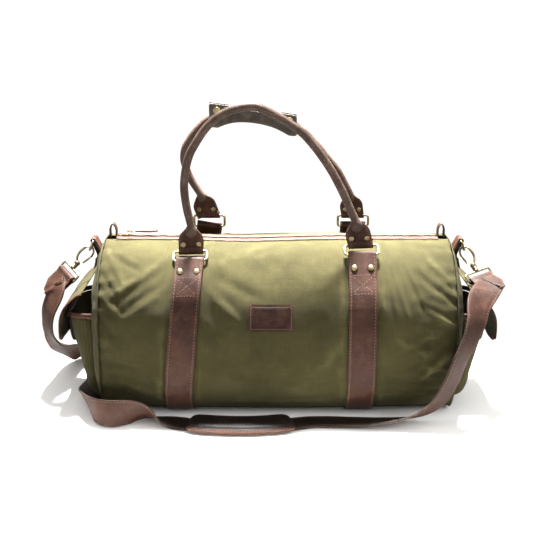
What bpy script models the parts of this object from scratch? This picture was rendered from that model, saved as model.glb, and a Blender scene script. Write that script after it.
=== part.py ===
"""Canvas duffel bag with leather straps, rolled handles, end pockets and a shoulder strap.

Metres, +Z up. The bag's length runs along X, its front faces -Y, and it stands on z = 0.
"""
import math

import bmesh
import bpy
import numpy as np
from mathutils import Vector

# ---- driving dimensions ----
GAP = 0.0003                 # clearance between neighbours
SEAM_X = 0.240               # half length between the end seams
BELLY = 0.1255               # half depth at the middle
BELLY_END = 0.114            # half depth at the end seams
BELLY_Z = 0.106              # height of the widest line
TOP_Z = 0.229                # height of the top skin
BASE_Z = 0.0029              # underside of the base, a strap's thickness and gap up
LOWER_DROP = 0.112
UPPER_POWER = 2.3
LOWER_POWER = 3.2
CANVAS = 0.0018
ZIP_HALF = 0.0115            # half width of the slot for the zip
BASE_HALF = 0.088            # half width of the base panel
BASE_SEAM = 0.0018           # seam between the base and the panels above it
LINING_INSET = 0.0055
END_BULGE = 0.022
LEATHER = 0.0022             # strap thickness
STRAP_WIDTH = 0.038
WIRE = 0.00175               # radius of the ring wire
RING_REACH = 0.0165          # between a ring's two bars
RING_HALF = 0.0226           # half width of a ring, to its wire's middle
FOLD = 0.045                 # length of a strap's folded-back end
HANDLE_RADIUS = 0.0053
SHOULDER_WIDTH = 0.038
SHOULDER_THICK = 0.003
STRAP_LIE = 0.0017           # height of the strap's middle line where it lies flat
ZIP_TRAVEL_X = 0.212
POCKET_HALF = 0.074

# (x at the front ring, x under the bag, x at the rear ring) of each body strap
FIRST_RIVETS = {"left": 13.0, "right": 12.5}     # rows of the strap path that carry the front rivets
STRAP_X = {"left": (-0.118, -0.134, -0.100), "right": (0.1135, 0.1125, 0.1140)}
# (y, z) of the lower bar of each ring, front then rear
FRONT_BAR = {"left": (-0.078, 0.2152), "right": (-0.078, 0.2235)}
REAR_BAR = {"left": (0.080, 0.2270), "right": (0.080, 0.2270)}
FRONT_LEAN = math.radians(32)    # how far the front rings rise above level
REAR_LEAN = math.radians(93)

COLOURS = {
    "canvas": ((0.22, 0.21, 0.07, 1), 0.9, 0.0),
    "lining": ((0.05, 0.05, 0.045, 1), 0.9, 0.0),
    "leather": ((0.085, 0.04, 0.03, 1), 0.5, 0.0),
    "brass": ((0.45, 0.36, 0.18, 1), 0.35, 1.0),
    "board": ((0.04, 0.04, 0.04, 1), 0.6, 0.0),
    "zip": ((0.06, 0.04, 0.035, 1), 0.6, 0.0),
}

for old in list(bpy.data.objects):
    bpy.data.objects.remove(old, do_unlink=True)

parts = bpy.data.collections.new("duffel_bag")
cutters = bpy.data.collections.new("cutters")
for collection in (parts, cutters):
    bpy.context.scene.collection.children.link(collection)


# ---- helpers ----
def material(kind):
    """The shared Principled material of one kind of stuff."""
    if kind in bpy.data.materials:
        return bpy.data.materials[kind]
    colour, roughness, metallic = COLOURS[kind]
    mat = bpy.data.materials.new(kind)
    mat.use_nodes = True
    shader = mat.node_tree.nodes["Principled BSDF"]
    shader.inputs["Base Color"].default_value = colour
    shader.inputs["Roughness"].default_value = roughness
    shader.inputs["Metallic"].default_value = metallic
    return mat


def pivot(name, point):
    """An empty on a joint's axis, for moving pieces to hang from."""
    empty = bpy.data.objects.new(name, None)
    empty.location = point
    empty.empty_display_size = 0.02
    parts.objects.link(empty)
    return empty


def add(name, data, kind, parent=None):
    """Name a mesh or curve, give it its material and hang it from its pivot."""
    obj = bpy.data.objects.new(name, data)
    data.materials.append(material(kind))
    parts.objects.link(obj)
    if parent is not None:
        obj.parent = parent
        obj.location = -parent.location
    return obj


def solidify(obj, thickness, offset):
    """Give an open surface its thickness."""
    modifier = obj.modifiers.new("thickness", "SOLIDIFY")
    modifier.thickness = thickness
    modifier.offset = offset
    return obj


def surface(name, rows, kind, thickness, offset=-1.0, parent=None, smooth=True):
    """A grid of points as an open surface, thickened."""
    mesh = bpy.data.meshes.new(name)
    form = bmesh.new()
    grid = [[form.verts.new(point) for point in row] for row in rows]
    for upper, lower in zip(grid, grid[1:]):
        for k in range(len(upper) - 1):
            form.faces.new((upper[k], upper[k + 1], lower[k + 1], lower[k]))
    form.to_mesh(mesh)
    form.free()
    if smooth:
        mesh.shade_smooth()
    return solidify(add(name, mesh, kind, parent), thickness, offset)


def band(name, path, across, width, thickness, kind, parent=None):
    """A flat strap: a strip along the path, as wide as asked for, thickened both ways."""
    widths = np.broadcast_to(np.asarray(width, float), (len(path),))
    sides = np.broadcast_to(np.asarray(across, float), (len(path), 3))
    half = sides * (widths / 2)[:, None]
    rows = [(p - h, p + h) for p, h in zip(np.asarray(path, float), half)]
    return surface(name, rows, kind, thickness, 0.0, parent)


def tube(name, points, radius, kind, closed=False, parent=None, sides=2):
    """A round wire or rolled handle along a path."""
    curve = bpy.data.curves.new(name, "CURVE")
    curve.dimensions = "3D"
    curve.bevel_depth = radius
    curve.bevel_resolution = sides
    curve.use_fill_caps = not closed
    spline = curve.splines.new("POLY")
    spline.points.add(len(points) - 1)
    for slot, point in zip(spline.points, points):
        slot.co = (*point, 1)
    spline.use_cyclic_u = closed
    return add(name, curve, kind, parent)


def as_mesh(obj):
    """Turn a curve object into a welded mesh object, so that it can be cut or joined."""
    graph = bpy.context.evaluated_depsgraph_get()
    mesh = bpy.data.meshes.new_from_object(obj.evaluated_get(graph))
    form = bmesh.new()
    form.from_mesh(mesh)
    bmesh.ops.remove_doubles(form, verts=form.verts, dist=0.00002)
    form.to_mesh(mesh)
    form.free()
    name, parent, location = obj.name, obj.parent, obj.location.copy()
    bpy.data.objects.remove(obj, do_unlink=True)
    new = bpy.data.objects.new(name, mesh)
    new.parent = parent
    new.location = location
    parts.objects.link(new)
    return new


def combine(obj, other, operation):
    """Join another mesh object to this one, or cut it away; the other becomes a cutter."""
    parts.objects.unlink(other)
    cutters.objects.link(other)
    other.hide_render = True
    other.display_type = "WIRE"
    modifier = obj.modifiers.new(operation.lower(), "BOOLEAN")
    modifier.operation = operation
    modifier.object = other
    return obj


def cylinder(name, start, end, radius, kind, parent=None, sides=14):
    """A round bar between two points."""
    start, end = Vector(start), Vector(end)
    mesh = bpy.data.meshes.new(name)
    form = bmesh.new()
    bmesh.ops.create_cone(form, cap_ends=True, segments=sides, radius1=radius, radius2=radius,
                          depth=(end - start).length)
    turn = (end - start).to_track_quat("Z", "Y").to_matrix().to_4x4()
    turn.translation = (start + end) / 2
    form.transform(turn)
    form.to_mesh(mesh)
    form.free()
    mesh.shade_smooth()
    return add(name, mesh, kind, parent)


def smooth_path(points, count):
    """A Catmull-Rom curve through the points, read off at even steps."""
    p = np.asarray(points, float)
    p = np.vstack([2 * p[0] - p[1], p, 2 * p[-1] - p[-2]])
    fine = []
    for a, b, c, d in zip(p, p[1:], p[2:], p[3:]):
        for t in np.linspace(0, 1, 16, endpoint=False):
            fine.append(0.5 * (2 * b + (c - a) * t + (2 * a - 5 * b + 4 * c - d) * t ** 2
                               + (3 * b - a - 3 * c + d) * t ** 3))
    fine.append(p[-2])
    return resample(np.array(fine), count)


def resample(points, count):
    """The same line with its points at even steps."""
    steps = np.linalg.norm(np.diff(points[:, :3], axis=0), axis=1)
    along = np.concatenate([[0], np.cumsum(steps)])
    wanted = np.linspace(0, along[-1], count)
    return np.stack([np.interp(wanted, along, column) for column in points.T], axis=1)


def unit(vector):
    vector = np.asarray(vector, float)
    return vector / np.linalg.norm(vector)


# ---- the bag's skin ----
END_MIDDLE_Z = BELLY_Z + 0.006


def size_at(x):
    """Half depth of the bag at station x."""
    return BELLY - (BELLY - BELLY_END) * (x / SEAM_X) ** 2


def skin(x, angle):
    """(y, z) on the outer skin; angle 0 is the top, 90 degrees the front, 180 the bottom."""
    s, c = math.sin(angle), math.cos(angle)
    power, height = (UPPER_POWER, TOP_Z - BELLY_Z) if c >= 0 else (LOWER_POWER, LOWER_DROP)
    y = -size_at(x) * math.copysign(abs(s) ** (2 / power), s)
    z = BELLY_Z + height * math.copysign(abs(c) ** (2 / power), c)
    return y, max(z, BASE_Z)


def skin_angle(x, y, lower):
    """The angle at which the skin reaches y, on the upper or the lower half."""
    power = LOWER_POWER if lower else UPPER_POWER
    angle = math.asin(min(1.0, (abs(y) / size_at(x)) ** (power / 2)))
    angle = math.pi - angle if lower else angle
    return angle if y < 0 else -angle


def skin_line(x, start, end, count, out=0.0):
    """Points along the skin between two angles, evenly spaced, moved out from it by out."""
    fine = np.array([skin(x, angle) for angle in np.linspace(start, end, 500)])
    line = resample(fine, 400)
    along = np.gradient(line, axis=0)
    normal = np.stack([along[:, 1], -along[:, 0]], axis=1)
    normal /= np.linalg.norm(normal, axis=1)[:, None] + 1e-12
    if end > start:
        normal = -normal
    return resample(line - normal * out, count)


def skin_panel(name, limits, stations, count, kind="canvas", inset=0.0, half=SEAM_X, thick=CANVAS):
    """A panel of the skin between two limits, each (y, lower half or not)."""
    rows = []
    for x in np.linspace(-half, half, stations):
        angles = [skin_angle(x, y, lower) for y, lower in limits]
        line = skin_line(x, angles[0], angles[1], count, -inset)
        rows.append([(x, y, z) for y, z in line])
    return surface(name, rows, kind, thick)


def make_shell():
    """Front, rear and base panels, with gaps at their seams."""
    skin_panel("front_panel", [(-ZIP_HALF, False), (-BASE_HALF - BASE_SEAM, True)], 17, 14)
    rear = skin_panel("rear_panel", [(ZIP_HALF, False), (BASE_HALF + BASE_SEAM, True)], 17, 14)
    rear.modifiers["thickness"].offset = 1.0
    rows = []
    for x in np.linspace(-SEAM_X, SEAM_X, 9):
        first = skin_angle(x, -BASE_HALF, True)
        line = skin_line(x, first, 2 * math.pi - first, 9)
        rows.append([(x, y, z) for y, z in line])
    surface("base_panel", rows, "canvas", CANVAS)


def end_outline(shrink, count=32):
    """The end seam's outline, drawn in towards its middle by a factor."""
    fine = np.array([skin(SEAM_X, a) for a in np.linspace(0, 2 * math.pi, 500)])
    middle = np.array([0.0, END_MIDDLE_Z])
    return middle + (resample(fine, count + 1)[:-1] - middle) * shrink


SEAM_LINE = end_outline(1.0, 360) - np.array([0.0, END_MIDDLE_Z])
SEAM_TURN = np.unwrap(np.arctan2(SEAM_LINE[:, 1], SEAM_LINE[:, 0]))
SEAM_REACH = np.hypot(SEAM_LINE[:, 0], SEAM_LINE[:, 1])


def dome_x(y, z):
    """How far out the end panel stands at (y, z)."""
    turn = math.atan2(z - END_MIDDLE_Z, y)
    gap = np.abs((SEAM_TURN - turn + math.pi) % (2 * math.pi) - math.pi)
    share = math.hypot(y, z - END_MIDDLE_Z) / SEAM_REACH[np.argmin(gap)]
    return SEAM_X + CANVAS + GAP + END_BULGE * max(0.0, 1 - share ** 2)


def make_end_panel(side, sign):
    """A bulging end panel."""
    mesh = bpy.data.meshes.new("end")
    form = bmesh.new()
    rings = []
    for shrink in (1.0, 0.86, 0.66, 0.42, 0.2):
        ring = []
        for y, z in end_outline(shrink):
            x = SEAM_X + CANVAS + GAP + END_BULGE * (1 - shrink ** 2)
            ring.append(form.verts.new((sign * x, y, z)))
        rings.append(ring)
    for outer, inner in zip(rings, rings[1:]):
        for k in range(len(outer)):
            j = (k + 1) % len(outer)
            form.faces.new((outer[k], outer[j], inner[j], inner[k]))
    form.faces.new(rings[-1])
    bmesh.ops.recalc_face_normals(form, faces=form.faces)
    if form.faces[0].normal.x * sign < 0:
        bmesh.ops.reverse_faces(form, faces=form.faces)
    form.to_mesh(mesh)
    form.free()
    mesh.shade_smooth()
    solidify(add(f"end_panel_{side}", mesh, "canvas"), CANVAS, -1.0)


def make_lining():
    """The lining: an inner skin, open along the top, with flat ends."""
    inset = LINING_INSET
    thick = 0.001
    half = SEAM_X - 0.002
    rows = []
    for k, x in enumerate([-half, -half, *np.linspace(-half, half, 11), half, half]):
        start = skin_angle(x, -ZIP_HALF - 0.008, False)
        line = skin_line(x, start, 2 * math.pi - start, 27, -inset)
        shrink = {0: 0.3, 1: 0.7, 13: 0.7, 14: 0.3}.get(k, 1.0)
        middle = np.array([0.0, BELLY_Z])
        rows.append([(x, *(middle + (point - middle) * shrink)) for point in line])
    return surface("lining", rows, "lining", thick)


def make_board():
    """The stiffener board that lies in the base."""
    mesh = bpy.data.meshes.new("base_board")
    form = bmesh.new()
    bmesh.ops.create_cube(form, size=1.0)
    form.transform(box_matrix((0, 0, 0.0108), (0.44, 0.11, 0.002)))
    form.to_mesh(mesh)
    form.free()
    board = add("base_board", mesh, "board")
    modifier = board.modifiers.new("round", "BEVEL")
    modifier.width = 0.0006
    modifier.segments = 1


def box_matrix(centre, size):
    """The matrix that makes a unit cube into a box."""
    from mathutils import Matrix
    return Matrix.Translation(centre) @ Matrix.Diagonal((*size, 1.0))


def box(name, centre, size, kind, parent=None, bevel=0.0):
    """A box, its edges rounded where a bevel is given."""
    mesh = bpy.data.meshes.new(name)
    form = bmesh.new()
    bmesh.ops.create_cube(form, size=1.0)
    form.transform(box_matrix(centre, size))
    form.to_mesh(mesh)
    form.free()
    obj = add(name, mesh, kind, parent)
    if bevel:
        modifier = obj.modifiers.new("round", "BEVEL")
        modifier.width = bevel
        modifier.segments = 2
    return obj


# ---- zip ----
CHAIN_Z = TOP_Z + 0.0012


def make_zip():
    """Tapes, chain, leather facings, slider, puller and the tabs at both ends."""
    length = 2 * 0.226
    for side, sign in (("front", -1), ("rear", 1)):
        box(f"zip_tape_{side}", (0, sign * 0.0083, TOP_Z - CANVAS - 0.0014), (length, 0.0096, 0.0008), "zip")
        box(f"zip_facing_{side}", (0, sign * 0.0105, TOP_Z + 0.0011), (length, 0.0130, 0.0014), "leather",
            bevel=0.0003)
    box("zip_chain", (0, 0, TOP_Z - 0.0008), (length, 0.0062, 0.0032), "zip")

    slider = pivot("slider_pivot", (-ZIP_TRAVEL_X, 0, CHAIN_Z + 0.004))
    body = box("zip_slider", (-ZIP_TRAVEL_X, 0, TOP_Z + 0.0041), (0.013, 0.0085, 0.0036), "brass", slider)
    arch = [(0.0, -0.0024), (0.0, 0.0012), (0.0015, 0.0030), (0.0045, 0.0030), (0.0055, 0.0012), (0.0055, -0.0024)]
    points = [(-ZIP_TRAVEL_X + 0.0005 + x, 0, TOP_Z + 0.0068 + z) for x, z in smooth_path(arch, 12)]
    bail = as_mesh(tube("slider_bail", points, 0.0008, "brass", parent=slider, sides=1))
    combine(body, bail, "UNION")

    hinge = np.array([-ZIP_TRAVEL_X + 0.0035, 0, TOP_Z + 0.0098])
    puller = pivot("puller_pivot", hinge)
    link = [hinge + np.array([dx, dy, dz]) for dx, dy, dz in (
        (0, -0.0030, 0.0018), (0, 0.0030, 0.0018), (0.010, 0.0030, 0.0003), (0.010, -0.0030, 0.0003))]
    box("zip_puller", hinge + np.array([0.0235, 0, -0.0005]), (0.032, 0.009, 0.0022), "leather", puller, 0.0005)
    return link


def make_zip_tabs():
    """Folded leather loops that stand up at both ends of the zip."""
    for side, sign in (("left", -1), ("right", 1)):
        arch = [(-0.0040, 0.0), (-0.0044, 0.010), (-0.0026, 0.0165), (0.0, 0.0185), (0.0026, 0.0165),
                (0.0044, 0.010), (0.0040, 0.0)]
        path = [(sign * 0.2315 + x, 0, TOP_Z + 0.0008 + z) for x, z in smooth_path(arch, 15)]
        band(f"zip_tab_{side}", path, (0, 1, 0), 0.012, 0.0016, "leather")


# ---- body straps ----
def fold_arc(bar, toward, normal, reach, count=9):
    """Half a turn round a bar, from the inner side over the top to the outer side."""
    return [bar - reach * (normal * math.cos(a) + toward * math.sin(a))
            for a in np.linspace(0, math.pi, count)]


def strap_path(side):
    """The middle line of a body strap, both its ends folded round their rings."""
    x_front, x_under, x_rear = STRAP_X[side]
    wrap = WIRE + GAP + LEATHER / 2
    inner = GAP + 0.0004 + LEATHER / 2
    outer = inner + LEATHER + GAP
    front = np.array(FRONT_BAR[side])
    rear = np.array(REAR_BAR[side])
    x_mid = min(abs(x) for x in STRAP_X[side]) - STRAP_WIDTH / 2
    start = skin_angle(x_mid, front[0], False)
    end = 2 * math.pi + skin_angle(x_mid, rear[0], False)
    base = skin_line(x_mid, start, end, 240)
    steps = np.concatenate([[0], np.cumsum(np.linalg.norm(np.diff(base, axis=0), axis=1))])
    total = steps[-1]
    along = np.gradient(base, axis=0)
    along /= np.linalg.norm(along, axis=1)[:, None]
    out = np.stack([along[:, 1], -along[:, 0]], axis=1)
    if out[120] @ np.array([0, -1.0]) < 0:
        out = -out

    def at(s, offset):
        point = np.array([np.interp(s, steps, base[:, k]) for k in (0, 1)])
        normal = unit([np.interp(s, steps, out[:, k]) for k in (0, 1)])
        return point + normal * offset

    skip = {"front": 0.014 if side == "left" else 0.030, "rear": 0.050}
    fold_end = {"front": skip["front"] + FOLD - 0.014, "rear": skip["rear"] + FOLD - 0.020}

    def offset_at(s):
        depth = inner
        for distance, end_fold in ((s, fold_end["front"]), (total - s, fold_end["rear"])):
            blend = min(1.0, max(0.0, (end_fold + 0.018 - distance) / 0.012))
            depth = max(depth, inner + (outer - inner) * blend * blend * (3 - 2 * blend))
        return depth

    path = []
    for s in np.linspace(fold_end["front"], skip["front"], 4):
        path.append(at(s, inner))
    toward = unit(at(skip["front"], 0.5 * (inner + outer)) - front)
    normal = np.array([toward[1], -toward[0]])
    normal = normal if normal[1] > 0 else -normal
    path += fold_arc(front, toward, normal, wrap)
    for s in np.linspace(skip["front"], total - skip["rear"], 46):
        path.append(at(s, offset_at(s)))
    toward = unit(at(total - skip["rear"], 0.5 * (inner + outer)) - rear)
    normal = np.array([toward[1], -toward[0]])
    normal = normal if normal[0] > 0 else -normal
    path += fold_arc(rear, toward, normal, wrap)[::-1]
    for s in np.linspace(skip["rear"], fold_end["rear"], 4):
        path.append(at(total - s, inner))

    points = []
    for y, z in path:
        if z > BELLY_Z * 0.4:
            blend = (z - BELLY_Z * 0.4) / (0.22 - BELLY_Z * 0.4)
            target = x_front if y < 0 else x_rear
            x = x_under + (target - x_under) * min(1.0, blend)
        else:
            x = x_under
        points.append((x, y, z))
    return np.array(points)


def make_body_straps():
    """Both load straps, and two rivets through each fold at the front and at the rear."""
    for side in ("left", "right"):
        path = strap_path(side)
        slope = (FRONT_BAR["right"][1] - FRONT_BAR["left"][1]) / (STRAP_X["right"][0] - STRAP_X["left"][0])
        tilt = [slope * min(1.0, max(0.0, (z - 0.15) / 0.05)) if y < 0 else 0.0 for x, y, z in path]
        across = [unit((1, 0, t)) for t in tilt]
        band(f"body_strap_{side}", path, across, STRAP_WIDTH, LEATHER, "leather")
        # the outer layer starts after the inner layer and the turn, and ends before them
        for place, index in (("front", FIRST_RIVETS[side]), ("rear", len(path) - 15)):
            low = int(index)
            here = np.asarray(path[low]) + (np.asarray(path[low + 1]) - path[low]) * (index - low)
            run = unit(path[low + 1] - path[low - 1])
            out = unit(np.cross(run, (1, 0, 0)))
            if out @ (here - np.array([here[0], 0, BELLY_Z])) < 0:
                out = -out
            for number, shift in ((1, -0.011), (2, 0.011)):
                foot = here + np.array([shift, 0, 0]) + out * (LEATHER / 2 + 0.0007)
                dome(f"rivet_{place}_{side}_{number}", foot, out, 0.0042, 0.0021)


def dome(name, foot, out, radius, height, kind="brass", parent=None):
    """A domed rivet head that sits on its foot and faces out, turned from its profile."""
    arc = [(radius * math.sin(a), 0, height * math.cos(a)) for a in np.linspace(0, math.pi / 2, 4)]
    mesh = bpy.data.meshes.new(name)
    profile = [*arc, (0, 0, 0)]
    mesh.from_pydata(profile, [(k, k + 1) for k in range(len(profile) - 1)], [])
    obj = add(name, mesh, kind, parent)
    screw = obj.modifiers.new("turn", "SCREW")
    screw.steps = 12
    screw.render_steps = 12
    screw.use_merge_vertices = True
    screw.merge_threshold = 0.00005
    obj.rotation_euler = Vector(out).to_track_quat("Z", "Y").to_euler()
    obj.location = Vector(foot) - (parent.location if parent else Vector())
    return obj


# ---- handles ----
FRONT_ARCH = [(-0.1170, 0.2600), (-0.1230, 0.2875), (-0.1252, 0.3173), (-0.1195, 0.3496),
              (-0.1083, 0.3723), (-0.0908, 0.3960), (-0.0695, 0.4115), (-0.0458, 0.4185),
              (-0.0288, 0.4190), (-0.0117, 0.4125), (0.0133, 0.3986), (0.0385, 0.3789),
              (0.0655, 0.3442), (0.0848, 0.3105), (0.0985, 0.2804), (0.1046, 0.2680)]
REAR_ARCH = [(-0.1135, 0.2765), (-0.1262, 0.2968), (-0.1345, 0.3175), (-0.1365, 0.3330),
             (-0.1300, 0.3532), (-0.1017, 0.3850), (-0.0610, 0.4022), (-0.0100, 0.3965),
             (0.0322, 0.3734), (0.0560, 0.3510), (0.0740, 0.3300), (0.0890, 0.3120),
             (0.1005, 0.2920), (0.1085, 0.2765)]


def rounded_ring(centre, across, up, half_width, half_height, corner, steps=3):
    """Points round a rectangle with round corners."""
    points = []
    for quarter, (sx, sy) in enumerate(((1, 1), (-1, 1), (-1, -1), (1, -1))):
        for k in range(steps + 1):
            a = math.pi / 2 * (quarter + k / steps)
            u = sx * (half_width - corner) + corner * math.cos(a)
            v = sy * (half_height - corner) + corner * math.sin(a)
            points.append(centre + across * u + up * v)
    return points


def make_handle(place, bars, lean, arch, chape_x):
    """A pair of rings, the handle, and its two ends folded round the rings."""
    left = np.array([STRAP_X["left"][0 if place == "front" else 2], *bars["left"]])
    right = np.array([STRAP_X["right"][0 if place == "front" else 2], *bars["right"]])
    across = unit(right - left)
    rise = unit(np.cross(across, np.cross((0, math.cos(lean), math.sin(lean)), across)))
    upper = {"left": left + rise * RING_REACH, "right": right + rise * RING_REACH}
    ring_pivot = pivot(f"{place}_ring_pivot", (left + right) / 2)
    handle_pivot = pivot(f"{place}_handle_pivot", (upper["left"] + upper["right"]) / 2)
    for side, bar in (("left", left), ("right", right)):
        points = rounded_ring(bar + rise * RING_REACH / 2, across, rise, RING_HALF, RING_REACH / 2, 0.0035)
        ring = tube(f"{place}_ring_{side}", points, WIRE, "brass", True, ring_pivot)
        ring.location = -ring_pivot.location

    y_handle = (upper["left"][1] + upper["right"][1]) / 2
    path = smooth_path([(x, y_handle, z) for x, z in arch], 42)
    tube(f"{place}_handle", path, HANDLE_RADIUS, "leather", parent=handle_pivot, sides=2)

    wrap = WIRE + GAP + LEATHER / 2
    layer = (LEATHER + GAP) / 2
    for side, end in (("left", path[0]), ("right", path[-1])):
        bar = upper[side].copy()
        bar[0] = chape_x[side]
        bar[2] += across[2] / across[0] * (chape_x[side] - upper[side][0])
        top = end - np.array([0, 0, HANDLE_RADIUS * 0.35])
        toward = np.array([0, 0, 1.0])
        outward = np.array([0, -1.0 if place == "front" else 1.0, 0])
        reach = top[2] - bar[2] - 0.001
        # distances up from the bar, and the width there
        form = [(reach, 0.012), (reach * 0.86, 0.020), (reach * 0.68, 0.031), (reach * 0.45, 0.034), (0.0055, 0.034)]
        drift = (top[0] - bar[0]) / reach
        inner = [(bar - outward * layer + toward * d, w, d) for d, w in form]
        turn = [(p, 0.034, 0.0) for p in fold_arc(bar, toward, outward, wrap, 7)]
        outer = [(bar + outward * layer + toward * d, w, d) for d, w in form[::-1]]
        line, widths = [], []
        for point, width, distance in [*inner, *turn, *outer]:
            line.append(point + np.array([drift * distance, 0, 0]))
            widths.append(width)
        band(f"{place}_handle_end_{side}", line, across, widths, LEATHER, "leather", handle_pivot)
    return path, handle_pivot


def make_wrap(path, parent):
    """The leather grip round the rear handle: a rear sheet with a trough, and a front flap."""
    start, end = -0.098, 0.029
    thick = 0.0018
    reach = HANDLE_RADIUS + GAP + 0.0006 + thick / 2
    stations = np.linspace(start, end, 13)
    height = np.interp(stations, path[4:-4, 0], path[4:-4, 2])
    slope = np.gradient(height, stations)
    y = path[0, 1]
    rim = np.interp(stations, [start, end], [0.4105, 0.3925])
    rows = []
    for x, z, top, drop in zip(stations, height, np.maximum(rim, height + 0.002), np.hypot(1, slope)):
        arc = [(x, y + reach * math.cos(a), z - reach * drop * math.sin(a)) for a in np.linspace(0, math.pi, 7)]
        rows.append([(x, y + reach, max(top, z + 0.004)), (x, y + reach, z + 0.002), *arc])
    surface("grip_wrap", rows, "leather", thick, 0.0, parent)
    hinge_z = np.array([0.3760, 0.3620])
    front = y - reach - thick - GAP - 0.0004
    flap = pivot("wrap_flap_pivot", ((start + end) / 2, front, hinge_z.mean()))
    flap.parent = parent
    flap.location = flap.location - parent.location
    rows = []
    for x, top in zip(stations[::2], rim[::2]):
        low = np.interp(x, [start, end], hinge_z)
        rows.append([(x, front, low), (x, front, (low + top) / 2), (x, front, top)])
    sheet = surface("grip_wrap_flap", rows, "leather", thick, 0.0, flap)
    sheet.location = -(flap.location + parent.location)


# ---- ends: pockets, flaps, D-rings, hooks ----
def pocket_reach(z, top=0.131, bottom=0.020):
    """How far out the pocket's face stands at height z."""
    t = (z - bottom) / (top - bottom)
    return 0.268 + 0.0232 * t


def pocket_rows(sign, heights, out=0.0):
    rows = []
    for z, depth in heights:
        row = []
        for u in np.sin(np.linspace(-math.pi / 2, math.pi / 2, 13)):
            y = POCKET_HALF * u
            wall = dome_x(y, z) + 2 * GAP
            face = max(wall, pocket_reach(z) + out)
            row.append((sign * (wall + (face - wall) * depth * (1 - abs(u) ** 7) ** 0.5), y, z))
        rows.append(row)
    return rows


def make_end(side, sign):
    """A pocket with its binding, flap and tongue, and the tab with its D-ring."""
    heights = [(0.0180, 0.0), (0.0185, 0.45), (0.022, 0.85), (0.034, 1.0), (0.066, 1.0), (0.100, 1.0), (0.131, 1.0)]
    pocket = surface(f"end_pocket_{side}", pocket_rows(sign, heights), "canvas", 0.0014, sign)
    rim = [(0.1313, 1.0), (0.1345, 1.0), (0.138, 1.0)]
    binding = surface(f"pocket_binding_{side}", pocket_rows(sign, rim, 0.0004), "leather", 0.0026, sign)

    arch = [(0.2680, 0.1660), (0.2750, 0.1632), (0.2840, 0.1555), (0.2930, 0.1450), (0.2988, 0.1310),
            (0.3003, 0.1150), (0.3000, 0.0980)]
    seam = np.array([sign * 0.2660, 0.0, 0.1668])
    hinge = pivot(f"flap_pivot_{side}", seam)
    rows = []
    for x, z in smooth_path(arch, 13):
        rows.append([(sign * x, y, z) for y in np.linspace(-POCKET_HALF - 0.001, POCKET_HALF + 0.001, 5)])
    surface(f"pocket_flap_{side}", rows, "canvas", 0.0018, 0.0, hinge)
    tongue = [(0.2973, 0.124), (0.2978, 0.112), (0.2972, 0.098), (0.2950, 0.084), (0.2930, 0.076)]
    path = [(sign * x, 0, z) for x, z in smooth_path(tongue, 7)]
    band(f"flap_tongue_{side}", path, (0, 1, 0), 0.026, 0.0018, "leather", hinge)

    bar = np.array([sign * 0.2590, 0.0, 0.2255])
    thin = 0.0016
    wrap = 0.0016 + GAP + 0.0006 + thin / 2
    tail = []
    for z, lift in ((0.186, 0.0040), (0.196, 0.0040), (0.206, 0.0040)):
        tail.append(np.array([sign * (dome_x(0, z) + lift), 0, z]))
    toward = unit(tail[-1] - bar)
    outward = unit(np.cross(toward, (0, 1, 0)))
    outward = outward if outward[0] * sign > 0 else -outward
    turn = fold_arc(bar, toward, outward, wrap)
    inside = [np.array([sign * (dome_x(0, z) + 0.0016), 0, z]) for z in (0.207, 0.213)]
    path = [*inside, *turn, *tail[::-1]]
    band(f"d_ring_tab_{side}", path, (0, 1, 0), 0.022, thin, "leather")

    ring_pivot = pivot(f"d_ring_pivot_{side}", bar)
    down = unit([sign * 0.42, 0, -0.907])
    half = 0.0138
    points = [bar + np.array([0, y, 0]) for y in (half - 0.002, 0, -half + 0.002)]
    for a in np.linspace(0, math.pi, 15):
        points.append(bar + np.array([0, -half * math.cos(a), 0]) + down * (0.0030 + 0.0135 * math.sin(a)))
    tube(f"d_ring_{side}", points, 0.0016, "brass", True, ring_pivot)
    return bar + down * 0.0165


HOOK_PULL = {"left": (-0.683, -0.247, -0.688), "right": (0.42, -0.52, -0.72)}
EYE_WIDE = {"left": (0.63, -0.73, -0.26), "right": (-0.93, -0.05, 0.33)}


def hook_frame(side, sign, apex):
    """Where a snap hook lies: its base, its axis to the nose, and its width direction."""
    pull = unit(HOOK_PULL[side])
    nose = apex - pull * 0.0041
    axis = -pull
    width = unit(np.cross(axis, (0, 1, 0)))
    return nose - axis * 0.030, axis, width


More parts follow.
